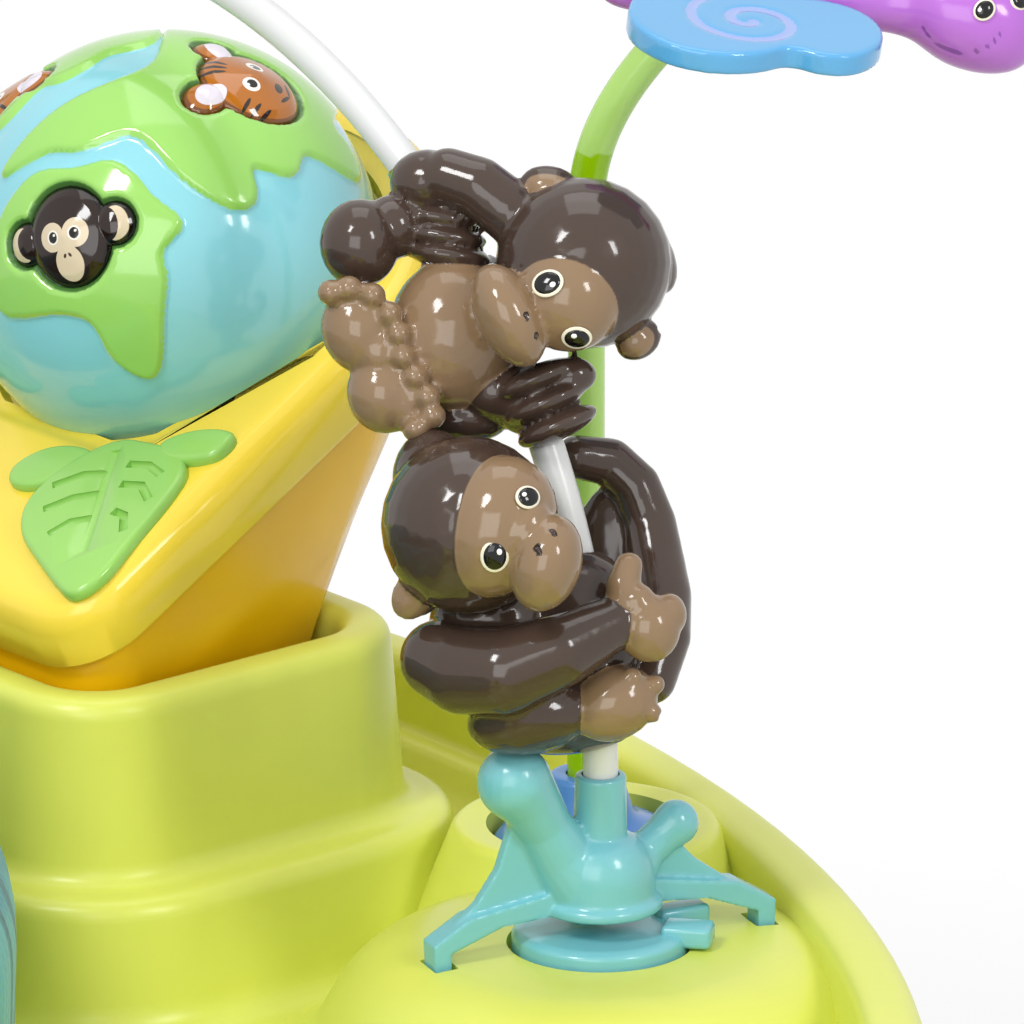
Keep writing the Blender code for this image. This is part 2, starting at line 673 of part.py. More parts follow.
def make_collar(fabric):
    """Padded fabric collar over the ring's wall, drawn in at its sewn channels."""
    build = bmesh.new()
    low_z = FLANGE_TOP_Z + GAP
    top_z = RING_TOP_Z + COLLAR_RISE
    outer = RING_RADIUS + COLLAR_OUT
    inner = RING_INNER - COLLAR_IN
    skirt_z = DECK_Z + 0.005
    profile = [
        (RING_RADIUS + GAP, low_z, 0), (SEAT_HOLE_RADIUS - 0.004, low_z, 0), (outer - 0.006, skirt_z, 1),
        (outer, skirt_z + 0.030, 1), (outer - 0.005, RING_TOP_Z + 0.008, 1),
        (RING_RADIUS + 0.004, top_z - 0.002, 1), (RING_INNER - 0.004, top_z, 1),
        (inner + 0.004, RING_TOP_Z + 0.012, 1), (inner, RING_TOP_Z - 0.012, 1),
        (inner + 0.006, low_z + 0.002, 0), (RING_INNER - GAP, low_z, 0),
        (RING_INNER - GAP, RING_TOP_Z + GAP, 0), (RING_RADIUS + GAP, RING_TOP_Z + GAP, 0),
    ]
    rings = []
    for turn in turn_angles(SEAT_SIDES):
        draw = COLLAR_TUFT_DEPTH * (1 - abs(math.sin(COLLAR_TUFTS * turn / 2)) ** 0.5)
        ring = []
        for radius, height, soft in profile:
            way = 1 if radius > RING_INNER else -1
            ring.append(build.verts.new(polar(radius - soft * way * draw, turn, height)))
        rings.append(ring)
    for low, high in zip(rings, rings[1:] + rings[:1]):
        bridge(build, low, high)
    object_from("seat_collar", build, fabric)


def make_sling(fabric):
    """Fabric bowl under the ring, with a hole for each leg."""
    top_z = FLANGE_TOP_Z
    outer = RING_INNER - 0.0006
    floor_z = top_z - SLING_DEPTH
    shape = [(1.0, 0.0), (0.965, 0.35), (0.86, 0.66), (0.60, 0.90), (0.28, 0.99)]
    outside = [(outer * share, top_z - SLING_DEPTH * drop) for share, drop in shape]
    inside = [(radius - SLING_WALL, height + SLING_WALL * drop)
              for (radius, height), (share, drop) in zip(outside, shape)]
    outline = [(0.0, floor_z)] + outside[::-1] + inside + [(0.0, floor_z + SLING_WALL)]
    sling = turned("seat_sling", outline, SEAT_SIDES // 2, fabric)
    cuts = []
    for side, word in ((1, "right"), (-1, "left")):
        cuts.append(hole("leg_hole_" + word, (side * LEG_HOLE_SPREAD, 0.012), LEG_HOLE_RADIUS,
                         floor_z - 0.02, floor_z + 0.085, 24))
    combine(sling, cuts, "DIFFERENCE")


# Console

def face_outline():
    """Face plate: straight sides, round front corners and a round top about the globe's foot."""
    points = [(FACE_ARCH * math.cos(turn), FACE_ARCH * math.sin(turn))
              for turn in (math.pi * step / 12 for step in range(13))]
    for way, start in ((-1, math.pi), (1, 1.5 * math.pi)):
        for step in range(5):
            turn = start + 0.5 * math.pi * step / 4
            points.append((
                way * (FACE_HALF - FACE_CORNER) + FACE_CORNER * math.cos(turn),
                FACE_CORNER - FACE_FRONT + FACE_CORNER * math.sin(turn),
            ))
    return points


def make_console(yellow, amber):
    face = empty_frame("face_frame", FACE_CENTRE, (FACE_SLOPE, 0.0, 0.0))
    middle = (0.0, (FACE_ARCH - FACE_FRONT) / 2)

    def ring(inset, level):
        return [(x, y, level) for x, y in ray_points(face_outline(), middle, FACE_SIDES, inset)]

    front = lofted("console_front", [
        ring(0.0, -FACE_DEPTH), ring(0.0, -FACE_LIP), ring(FACE_LIP * 0.3, -FACE_LIP * 0.3),
        ring(FACE_LIP, 0.0),
    ], yellow, face)
    dome_foot = math.sqrt(GLOBE_RADIUS ** 2 - FACE_DROP ** 2)
    seat = turned("globe_seat", [
        (0.0, -SEAT_DEPTH), (dome_foot, -SEAT_DEPTH), (dome_foot, -MOAT_DEPTH),
        (dome_foot + MOAT_WIDTH * 0.55, -MOAT_DEPTH * 0.75), (dome_foot + MOAT_WIDTH, 0.001), (0.0, 0.001),
    ], 32, None, face)
    combine(front, [seat], "DIFFERENCE")
    make_console_back(middle, amber)
    return face


def make_console_back(middle, amber):
    """Back housing: lofted from the pocket's rectangle up to the sloping parting plane."""
    half = BLOCK_HALF - BLOCK_WALL - CONSOLE_PLAY
    front_y = BLOCK_FRONT + BLOCK_WALL + CONSOLE_PLAY
    rear_y = BLOCK_REAR - BLOCK_WALL - 0.011
    centre = (0.0, (front_y + rear_y) / 2)
    tilt = Matrix.Translation(FACE_CENTRE) @ Matrix.Rotation(FACE_SLOPE, 4, "X")
    low_z = PLATFORM_Z - POCKET_FLOOR + GAP
    mouth_z = PLATFORM_Z + BLOCK_RISE - 0.004

    def level_ring(inset, height):
        outline = rounded_rectangle(half - inset, front_y + inset, rear_y - inset, 0.012)
        return [Vector((x, y, height)) for x, y in ray_points(outline, centre, FACE_SIDES)]

    parting = -FACE_DEPTH - GAP
    upper = [tilt @ Vector((x, y, parting))
             for x, y in ray_points(face_outline(), middle, FACE_SIDES, 0.0025)]
    mouth = level_ring(0.0, mouth_z)
    waist = [low.lerp(high, 0.45) - Vector((0.0, 0.05 * (high.y - low.y), 0.0))
             for low, high in zip(mouth, upper)]
    back = lofted("console_back", [level_ring(0.002, low_z), mouth, waist, upper], amber, None, 30)
    door_frame = empty_frame(
        "door_frame", (0.0, rear_y + 0.0075, PLATFORM_Z + BLOCK_RISE + 0.024), (-DOOR_LEAN, 0.0, 0.0))
    half, tall = DOOR_HALF_WIDTH, DOOR_HALF_HEIGHT
    recess = block("door_recess", (-half, -DOOR_THICK, -tall), (half, 0.03, tall), None, door_frame)
    combine(back, [recess], "DIFFERENCE")
    block("battery_door", (GAP - half, GAP - DOOR_THICK, GAP - tall), (half - GAP, -0.0005, tall - GAP),
          amber, door_frame)


def direction_frame(name, centre, way):
    """Empty whose +Z points along a direction from the globe's centre."""
    turn = Vector(way).normalized().to_track_quat("Z", "Y").to_euler()
    return empty_frame(name, centre, turn)


def button_outline(radius, ear):
    """Round face with two ears at the top."""
    points = []
    for turn in turn_angles(24):
        swell = 0.0
        for place in (0.25 * math.pi, 0.75 * math.pi):
            away = (turn - place) / 0.36
            swell += ear * math.exp(-away * away)
        points.append((radius * (1 + swell) * math.cos(turn), radius * (1 + swell) * math.sin(turn)))
    return points


def make_globe(ocean, land, faces):
    centre = Vector((0.0, GLOBE_Y, PLATFORM_Z + GLOBE_RISE))
    axis = (0.0, -math.sin(FACE_SLOPE), math.cos(FACE_SLOPE))
    dome_frame = direction_frame("dome_frame", centre, axis)
    dome = turned("globe_dome", dome_outline(GLOBE_RADIUS), DOME_SIDES, ocean, dome_frame)
    cuts = []
    for name, way, material in faces:
        frame = direction_frame(name + "_axis", centre, way)
        cuts.append(make_button(name, frame, material))
    combine(dome, cuts, "DIFFERENCE")
    under = turned("land_under", dome_outline(GLOBE_RADIUS + GAP), DOME_SIDES, None, dome_frame)
    over = turned("land_over", dome_outline(GLOBE_RADIUS + GAP + LAND_RISE), DOME_SIDES, None, dome_frame)
    make_land(centre, land, over, [under] + cuts)


def dome_outline(radius):
    """Ball profile from its top down to the dome's flat foot in the face."""
    foot = -FACE_DROP - SEAT_DEPTH + GAP
    low = math.asin(foot / radius)
    outline = [(0.0, foot)]
    for step in range(DOME_STEPS):
        lift = low + (0.5 * math.pi - low) * step / DOME_STEPS
        outline.append((radius * math.cos(lift), radius * math.sin(lift)))
    return outline + [(0.0, radius)]


def make_button(name, frame, material):
    """Domed animal-head button on its sprung seat, and the cutter of its well."""
    seat = GLOBE_RADIUS - BUTTON_SEAT
    edge = GLOBE_RADIUS + BUTTON_RISE * 0.2
    levels = [(1.0, seat), (1.0, edge), (0.86, edge + 0.0013), (0.5, GLOBE_RADIUS + BUTTON_RISE)]
    sections = []
    for share, level in levels:
        sections.append([(x * share, y * share, level)
                         for x, y in button_outline(BUTTON_RADIUS, BUTTON_EAR)])
    lofted(name, sections, material, frame)
    well = button_outline(BUTTON_RADIUS + GAP, BUTTON_EAR)
    floor = seat - BUTTON_TRAVEL - GAP
    return extruded(name + "_well", well, floor, GLOBE_RADIUS + 0.02, "XYZ", None, frame)


NORTH_OUTLINE = [
    (-31, 15), (-22, 19.5), (-11, 21), (-6, 22.5), (3, 14), (14, 7), (18.5, 9), (18, 15.5), (26, 14),
    (27.5, 19), (38, 13), (36, 22), (42, 30), (30, 40), (8, 46), (-2, 41), (-3, 35), (-20, 29),
]
SOUTH_OUTLINE = [
    (-30, 6), (-24, 15), (-11, 17.5), (-5, 15), (-1.5, 9), (4, 5), (-0.5, -1), (1, -7), (0, -22),
    (-4, -26), (-10, -22), (-14, -14.5), (-21, -12.5), (-30, -13),
]
WEST_OUTLINE = [
    (-14, 20), (-2, 23), (12, 17), (15, 8), (6, 3), (8, -6), (3, -20), (-4, -22), (-9, -10), (-17, 2),
]


def make_land(centre, land, over, cuts):
    """Land masses: raised patches of a thin shell, each cut along one viewing direction."""
    views = (
        ("land_north", NORTH_OUTLINE, LAND_FRONT_WAY),
        ("land_south", SOUTH_OUTLINE, LAND_FRONT_WAY),
        ("land_west", WEST_OUTLINE, LAND_BACK_WAY),
    )
    for name, outline, way in views:
        aim = Vector(way).normalized()
        right = Vector((0.0, 0.0, 1.0)).cross(aim).normalized()
        up = aim.cross(right)
        turn = Matrix((right, up, aim)).transposed().to_euler()
        frame = empty_frame(name + "_view", centre, turn)
        shore = [(x / 1000, y / 1000) for x, y in outline]
        patch = extruded(name, shore, 0.0, 2 * GLOBE_RADIUS, "XYZ", land, frame)
        combine(patch, [over], "INTERSECT")
        face_clear = empty_frame(name + "_face", FACE_CENTRE, (FACE_SLOPE, 0.0, 0.0))
        below = block(name + "_below", (-0.1, -0.1, -0.1), (0.1, 0.1, 0.0015), None, face_clear)
        combine(patch, [below] + cuts, "DIFFERENCE")


def leaf_outline(length, width):
    """Pointed leaf along +Y from its stalk, from a sine swell."""
    steps = 8
    half = []
    for step in range(1, steps):
        share = step / steps
        half.append((width / 2 * math.sin(math.pi * share ** 0.8), length * share))
    mirrored = [(-x, y) for x, y in half[::-1]]
    return [(0.0, 0.0)] + half + [(0.0, length)] + mirrored


def make_grilles(face, leaf_green):
    """Speaker grille leaves: a leaf plate with curved slots on both sides of its midrib."""
    for side, word in ((1, "right"), (-1, "left")):
        frame = empty_frame("grille_frame_" + word, (side * 0.020, -0.040, GAP),
                            (0.0, 0.0, math.pi + side * math.radians(37)), face)
        plate = extruded("leaf_grille_" + word, leaf_outline(GRILLE_LENGTH, GRILLE_WIDTH), 0.0, GRILLE_THICK,
                         "XYZ", leaf_green, frame)
        cuts = []
        for way in (1, -1):
            for step in range(3):
                start = 0.010 + 0.008 * step
                reach = 0.0105 - 0.0018 * step
                outline = []
                for share in (0.0, 0.5, 1.0):
                    outline.append((way * (0.0028 + reach * share), start + 0.007 * share ** 1.5))
                for share in (1.0, 0.5, 0.0):
                    outline.append((way * (0.0028 + reach * share), start + 0.0024 + 0.007 * share ** 1.5))
                name = f"grille_slot_{word}_{way}_{step}"
                cuts.append(extruded(name, outline, -0.001, 0.01, "XYZ", None, frame))
        combine(plate, cuts, "DIFFERENCE")


# Toy arch

def arch_path(steps=20):
    path = [(POST_X, 0.0, ARCH_Z - SOCKET_DEPTH + GAP)]
    for step in range(steps + 1):
        turn = math.pi * step / steps
        path.append((POST_X * math.cos(turn), 0.0, ARCH_Z + ARCH_RISE * math.sin(turn)))
    path.append((-POST_X, 0.0, ARCH_Z - SOCKET_DEPTH + GAP))
    return path


def make_arch(white, teal):
    path = arch_path()
    arch = swept("arch_tube", path, [ARCH_TUBE_RADIUS] * len(path), 8, white)
    arch.location = (0.0, POST_Y, 0.0)
    for side, word in ((1, "right"), (-1, "left")):
        place = (side * POST_X, POST_Y, PLATFORM_Z)
        frame = empty_frame("splash_" + word, place, (0.0, 0.0, arm_turn(side)))
        make_splash(word, frame, teal)
        make_turn_lock(word, side, teal)


def make_splash(word, frame, teal):
    """Splash-shaped clip base: hub and socket, two wave curls, and an arm with a tab foot each way."""
    hub = 0.0075
    body = turned("splash_base_" + word, [
        (0.0, hub), (0.0125, hub), (0.0125, hub + 0.0023), (0.0108, hub + 0.003), (0.0105, hub + 0.0085),
        (0.0075, hub + 0.012), (0.0055, hub + 0.0155), (0.0052, SOCKET_RISE), (0.0, SOCKET_RISE),
    ], 16, teal, frame)
    reach, foot = ARM_REACH, -FOOT_DEPTH
    adds = []
    for way, end in ((1, "out"), (-1, "in")):
        outline = [
            (0.0, hub + 0.004), (0.0, hub), (0.021, 0.0068), (reach - FOOT_THICK, 0.002),
            (reach - FOOT_THICK, foot), (reach, foot), (reach + 0.0005, 0.006), (0.029, 0.0105),
            (0.012, 0.0155),
        ]
        arm = [(way * x, z) for x, z in outline]
        name = f"splash_arm_{word}_{end}"
        adds.append(extruded(name, arm, -ARM_WIDTH / 2, ARM_WIDTH / 2, "XZY", None, frame))
    web = [
        (-0.004, 0.012), (-0.034, 0.006), (-0.027, 0.0125), (-0.023, 0.022), (-0.020, 0.031), (-0.009, 0.026),
    ]
    adds.append(extruded("splash_web_" + word, web, -WEB_HALF, WEB_HALF, "XZY", None, frame))
    fin = [(0.004, 0.012), (0.034, 0.006), (0.026, 0.0125), (0.019, 0.0195), (0.010, 0.020)]
    adds.append(extruded("splash_fin_" + word, fin, -WEB_HALF, WEB_HALF, "XZY", None, frame))
    curls = (
        ("big", [(-0.003, 0.013), (-0.0095, 0.020), (-0.0165, 0.0285), (-0.0196, 0.0335)], 0.0072),
        ("small", [(0.003, 0.012), (0.0095, 0.017), (0.0145, 0.0222)], 0.0046),
    )
    for curl, points, radius in curls:
        path = [(x, 0.0, z) for x, z in points]
        along = (Vector(path[-1]) - Vector(path[-2])).normalized()
        radii = [radius * 0.9] * (len(path) - 1) + [radius]
        for share in (0.5, 0.85):
            path.append(Vector(path[len(points) - 1]) + along * radius * share)
            radii.append(radius * math.sqrt(1 - share ** 2))
        adds.append(swept(f"splash_curl_{curl}_{word}", path, radii, 8, None, frame))
    combine(body, adds, "UNION")
    bore_z = SOCKET_RISE - SOCKET_DEPTH
    socket = bore("splash_bore_" + word, ARCH_TUBE_RADIUS + GAP, bore_z, SOCKET_RISE + 0.02, 12, frame)
    combine(body, [socket], "DIFFERENCE")


def make_turn_lock(word, side, teal):
    frame = empty_frame("lock_" + word, (side * POST_X, POST_Y, PLATFORM_Z),
                        (0.0, 0.0, math.radians(40) if side > 0 else math.radians(140)))
    disc = turned("turn_lock_" + word, [
        (0.0, -LOCK_DEPTH), (LOCK_RADIUS, -LOCK_DEPTH), (LOCK_RADIUS, LOCK_TOP - 0.0015),
        (LOCK_RADIUS - 0.0015, LOCK_TOP), (0.0, LOCK_TOP),
    ], 24, teal, frame)
    lugs = []
    for step, turn in enumerate((0.0, math.radians(38))):
        lug_frame = empty_frame(f"lug_{word}_{step}", (0.0, 0.0, 0.0), (0.0, 0.0, turn), frame)
        lugs.append(block(f"lock_lug_{word}_{step}", (LOCK_RADIUS - 0.004, -0.003, GAP),
                          (LOCK_RADIUS + 0.006, 0.003, LOCK_TOP - 0.001), None, lug_frame))
    combine(disc, lugs, "UNION")


# Climbing gorillas: balls and tapering limbs, in millimetres from the arch post's socket mouth.
# X runs across the figure, Y away from its front and Z up.
LOWER_BALLS = [
    ((-23.9, -11, 54.7), (18.5, 18, 17.5)),
    ((-10.3, -26, 52.5), (8, 7.5, 8.5)),
    ((-36.3, -13, 41.7), (4.5, 3, 4.5)),
    ((-2.5, 2, 34), (14, 13, 22)),
    ((9.7, -17, 34.5), (6.5, 6, 6.5)),
    ((6.5, -15, 42), (4, 4, 6)),
    ((5.7, -12, 21), (7.5, 6.5, 8)),
    ((10.5, -11, 22), (3.5, 4, 6)),
    ((-7, -2, 18), (11, 11, 8)),
]
LOWER_LIMBS = [
    [(-2.9, 10, 60, 6), (7.1, 8, 54.2, 6.5), (9.7, 4, 43, 6.5), (10, -2, 32, 6.5)],
    [(-28, -14, 42, 9), (-28.9, -15, 29, 9.5), (-11.9, -22, 31.3, 8.5), (2.5, -21, 34.2, 6.5)],
    [(-14.9, -12, 20, 8), (-1.9, -13, 20, 8)],
    [(-16, 8, 20, 8), (-2, 13, 20, 7.5)],
]
UPPER_BALLS = [
    ((-28.9, 14, 89), (16, 14, 18)),
    ((-2.9, 12, 100.2), (15.5, 15, 15.5)),
    ((-18.3, -2, 95.7), (8, 7.5, 10)),
    ((-8, 2, 97), (12, 10, 12)),
    ((-9.9, 12, 116.5), (4, 3, 4)),
    ((10.5, 14, 97.4), (4, 3, 4)),
]
UPPER_LIMBS = [
    [(-33.5, 31, 104, 9), (-31.9, 28, 112, 9.5), (-20.5, 18, 112.3, 8)],
    [(-38, 20, 101, 9), (-47.9, 16, 104.2, 8.5), (-49.5, 9, 95, 7.5)],
    [(-49.5, 8, 92.5, 7), (-44.3, 6, 83.2, 8), (-39.5, 6, 74.8, 7)],
    [(-26, 16, 75, 9), (-12.9, 15, 72.8, 8.5)],
    [(-6, 16, 86, 7), (-12, 15, 76, 7.5)],
]


def make_gorilla(name, balls, limbs, fur):
    """One smooth figure grown from its balls and limbs, bored for the arch tube."""
    build = bmesh.new()
    for centre, radii in balls:
        ball(build, Vector(centre) / 1000, Vector(radii) / 1000)
    for limb in limbs:
        for start, end in zip(limb, limb[1:]):
            for step in range(6):
                share = step / 5
                point = [low + (high - low) * share for low, high in zip(start, end)]
                ball(build, Vector(point[:3]) / 1000, [point[3] / 1000] * 3, 6)
    figure = object_from(name, build, fur)
    figure.location = (POST_X, POST_Y, ARCH_Z)
    figure.rotation_euler = (0.0, 0.0, FIGURE_TURN)
    skin = figure.modifiers.new("skin", "REMESH")
    skin.mode = "VOXEL"
    skin.voxel_size = FIGURE_VOXEL
    skin.use_smooth_shade = True
    thin = figure.modifiers.new("thin", "DECIMATE")
    thin.ratio = FIGURE_SHARE
    path = arch_path()
    channel = swept(name + "_bore", path, [ARCH_TUBE_RADIUS + FIGURE_BORE] * len(path), 8)
    channel.location = (0.0, POST_Y, 0.0)
    combine(figure, [channel], "DIFFERENCE")


# Toys on posts

def make_butterfly(flange_blue, post_green, purple, wing_blue):
    top = PLATFORM_Z + BOSS_RISE
    base = empty_frame("butterfly_base", (BOSS_X, BOSS_Y, top), (0.0, 0.0, FIGURE_TURN))
    flange = turned("butterfly_flange", [
        (0.0, -BOSS_DEPTH + GAP), (BOSS_HOLE - GAP, -BOSS_DEPTH + GAP), (BOSS_HOLE - GAP, -0.006),
        (BOSS_HOLE - 0.003, -0.002), (BEND_POST_RADIUS + 0.006, 0.001), (BEND_POST_RADIUS + 0.003, 0.010),
        (0.0, 0.010),
    ], 16, flange_blue, base)
    combine(flange, [bore("flange_bore", BEND_POST_RADIUS + GAP, -0.008, 0.02, 12, base)], "DIFFERENCE")
    path = [(0.0, 0.0, -0.008 + GAP)]
    straight = BEND_POST_RISE * 0.78
    for share in (0.0, 0.25, 0.5, 0.75, 1.0):
        path.append((BEND_POST_LEAN * share ** 2, 0.0, straight + (BEND_POST_RISE - straight) * share))
    swept("butterfly_post", path, [BEND_POST_RADIUS] * len(path), 12, post_green, base)
    tip = Vector(path[-1])
    lean = math.atan2(tip.x - path[-2][0], tip.z - path[-2][2])
    pivot = empty_frame("butterfly_pivot", tip, (0.0, lean, 0.0), base)
    level = empty_frame("butterfly_level", (0.0, 0.0, 0.0), (0.0, -lean, 0.0), pivot)
    body = [(-0.012, 0.009, 0.0050), (0.0, 0.0085, 0.0068), (0.014, 0.008, 0.0075), (0.030, 0.0065, 0.0070),
            (0.042, 0.005, 0.0055), (0.048, 0.004, 0.0080), (0.053, 0.003, 0.0105), (0.060, 0.002, 0.0115),
            (0.067, 0.001, 0.0100), (0.071, 0.0005, 0.0060)]
    tail = [(-0.016, 0.0095, 0.0025)]
    trunk = swept("butterfly_body", [(x, 0.0, z) for x, z, radius in tail + body],
                  [radius for x, z, radius in tail + body], 12, purple, level)
    combine(trunk, [bore("post_clear", BEND_POST_RADIUS + GAP, -0.03, GAP, 12, pivot)], "DIFFERENCE")
    for side, word in ((-1, "near"), (1, "far")):
        make_wing(word, side, level, wing_blue)


def make_wing(word, side, level, wing_blue):
    """Scalloped wing: a thick leaf-shaped plate hinged along the body's side."""
    hinge = empty_frame("wing_hinge_" + word, (WING_FORWARD, side * WING_ROOT, WING_HEIGHT),
                        (side * math.radians(-6), 0.0, 0.0), level)
    outline = [
        (-0.010, 0.0), (0.026, 0.0), (0.034, 0.010), (0.036, 0.020), (0.030, 0.028), (0.021, 0.029),
        (0.016, 0.027), (0.010, 0.033), (0.000, 0.036), (-0.012, 0.033), (-0.019, 0.022), (-0.017, 0.008),
    ]
    plate = [(x, side * y) for x, y in outline]
    inset = [(0.006 + (x - 0.006) * 0.93, side * (0.0165 + (y - 0.0165) * 0.93)) for x, y in outline]
    sections = [[(x, y, -0.0025) for x, y in inset], [(x, y, -0.0012) for x, y in plate],
                [(x, y, 0.0012) for x, y in plate], [(x, y, 0.0025) for x, y in inset]]
    lofted("butterfly_wing_" + word, sections, wing_blue, hinge)


def make_ring_post(post_teal, ring_materials):
    top = PLATFORM_Z + BOSS_RISE
    base = empty_frame("ring_base", (-BOSS_X, BOSS_Y, top))
    seat = 0.012
    pitch = 2 * SPIN_RING_TUBE + 2 * GAP
    stack = seat + SPIN_RING_COUNT * pitch
    turned("ring_post", [
        (0.0, -BOSS_DEPTH + GAP), (BOSS_HOLE - GAP, -BOSS_DEPTH + GAP), (BOSS_HOLE - GAP, -0.004),
        (BOSS_HOLE - 0.004, 0.002), (RING_STEM_RADIUS + 0.004, seat - GAP), (RING_STEM_RADIUS, seat - GAP),
        (RING_STEM_RADIUS, stack + GAP), (RING_STEM_RADIUS + 0.005, stack + GAP),
        (RING_STEM_RADIUS + 0.007, stack + 0.008), (RING_STEM_RADIUS + 0.003, RING_STEM_RISE - 0.004),
        (0.0, RING_STEM_RISE),
    ], 14, post_teal, base)
    for step in range(SPIN_RING_COUNT):
        middle = seat + pitch * (step + 0.5)
        tube, inner = SPIN_RING_TUBE, RING_STEM_RADIUS + SLIDE_GAP
        outer = SPIN_RING_RADIUS - 0.002 * step
        turned(f"spin_ring_{step + 1}", [
            (inner, middle - tube), (outer - 0.006, middle - tube), (outer - 0.0015, middle - tube * 0.55),
            (outer, middle), (outer - 0.0015, middle + tube * 0.55), (outer - 0.006, middle + tube),
            (inner, middle + tube),
        ], 14, ring_materials[step], base)


def make_sprout(stem_green, bloom_yellow):
    base = empty_frame("sprout_base", (*side_place(1).xy, PLATFORM_Z))
    turned("sprout_stem", [
        (0.0, -0.012 + GAP), (SPROUT_STEM, -0.012 + GAP), (SPROUT_STEM, GAP), (0.020, GAP), (0.018, 0.004),
        (SPROUT_STEM + 0.002, 0.010), (SPROUT_STEM, 0.026), (SPROUT_STEM - 0.002, 0.026),
        (SPROUT_STEM - 0.002, 0.034), (0.0, 0.034),
    ], 12, stem_green, base)
    build = bmesh.new()
    rings = []
    levels = [
        (0.014, 0.026 + GAP), (0.026, 0.034), (0.029, 0.041), (0.024, 0.048), (0.012, SPROUT_RISE - 0.006),
    ]
    for radius, level in levels:
        ring = []
        for turn in turn_angles(20):
            swell = 1 + 0.10 * math.cos(5 * turn) * min(1.0, radius / 0.026)
            ring.append(build.verts.new(polar(radius * swell, turn, level)))
        rings.append(ring)
    for low, high in zip(rings, rings[1:]):
        bridge(build, low, high)
    build.faces.new(rings[0])
    bridge(build, rings[-1], [build.verts.new((0.0, 0.0, SPROUT_RISE))])
    bloom = object_from("sprout_bloom", build, bloom_yellow, base)
    socket = bore("bloom_socket", SPROUT_STEM - 0.002 + GAP, 0.02, 0.034 + GAP, 12, base)
    combine(bloom, [socket], "DIFFERENCE")


def main():
    clear_scene()
    lime = finish_material("lime_polyethylene", (0.72, 0.79, 0.15), 0.42)
    yellow = finish_material("yellow_abs", (0.98, 0.75, 0.08), 0.22)
    amber = finish_material("amber_abs", (0.87, 0.51, 0.0), 0.25)
    ocean = finish_material("ocean_abs", (0.32, 0.72, 0.79), 0.25)
    land = finish_material("land_green_abs", (0.38, 0.71, 0.19), 0.28)
    teal = finish_material("teal_abs", (0.21, 0.55, 0.58), 0.28)
    white = finish_material("white_tube", (0.9, 0.9, 0.9), 0.3)
    fur = finish_material("dark_brown_abs", (0.09, 0.06, 0.05), 0.2)
    purple = finish_material("purple_abs", (0.48, 0.16, 0.63), 0.25)
    wing_blue = finish_material("wing_blue", (0.11, 0.40, 0.72), 0.25)
    fabric = finish_material("seat_fabric", (0.05, 0.27, 0.35), 0.9)
    rubber = finish_material("dark_rubber", (0.05, 0.05, 0.05), 0.8)
    steel = finish_material("spring_steel", (0.6, 0.6, 0.62), 0.3, 1.0)
    amber_clear = finish_material("amber_clear", (0.87, 0.42, 0.02), 0.15)
    brown = finish_material("button_brown", (0.16, 0.07, 0.03), 0.15)
    make_base(lime, rubber)
    make_springs_and_legs(steel, white)
    make_tray(lime)
    make_latches(amber)
    make_seat(teal, fabric, rubber)
    face = make_console(yellow, amber)
    make_grilles(face, land)
    make_globe(ocean, land, (
        ("monkey_button", MONKEY_WAY, brown),
        ("tiger_button", TIGER_WAY, amber_clear),
        ("lion_button", LION_WAY, amber_clear),
    ))
    make_arch(white, teal)
    make_gorilla("gorilla_lower", LOWER_BALLS, LOWER_LIMBS, fur)
    make_gorilla("gorilla_upper", UPPER_BALLS, UPPER_LIMBS, fur)
    make_butterfly(wing_blue, land, purple, wing_blue)
    make_ring_post(teal, (purple, wing_blue, yellow))
    make_sprout(land, yellow)


main()
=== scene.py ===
"""Looks of the activity jumper: the lime toy tray with its globe console, arch and toys, seat and sprung base.

Metres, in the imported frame.  The child's front is +Y.  Figures are shaped in millimetres in the view frame
of the arch post: X to the right, Y up and Z towards the camera.
"""
import math

import bpy
import numpy as np
from mathutils import Matrix, Vector


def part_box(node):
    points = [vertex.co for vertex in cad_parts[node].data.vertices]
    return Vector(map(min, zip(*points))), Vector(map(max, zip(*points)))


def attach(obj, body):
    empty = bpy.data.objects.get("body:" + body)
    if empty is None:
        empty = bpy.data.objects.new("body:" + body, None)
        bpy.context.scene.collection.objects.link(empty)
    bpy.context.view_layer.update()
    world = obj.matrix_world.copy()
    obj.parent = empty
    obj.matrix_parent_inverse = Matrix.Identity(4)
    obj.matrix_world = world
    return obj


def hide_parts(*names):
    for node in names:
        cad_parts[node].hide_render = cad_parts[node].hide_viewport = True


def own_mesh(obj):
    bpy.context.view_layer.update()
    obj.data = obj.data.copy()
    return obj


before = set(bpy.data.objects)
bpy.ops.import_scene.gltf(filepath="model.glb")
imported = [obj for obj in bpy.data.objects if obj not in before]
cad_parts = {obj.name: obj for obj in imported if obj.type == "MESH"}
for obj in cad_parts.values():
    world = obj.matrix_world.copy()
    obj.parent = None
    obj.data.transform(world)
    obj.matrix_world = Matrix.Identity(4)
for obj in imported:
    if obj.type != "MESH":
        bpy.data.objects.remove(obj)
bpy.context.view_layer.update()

MM = 0.001
TO_METRES = Matrix.Scale(MM, 4)
FULL_TURN = 2 * math.pi

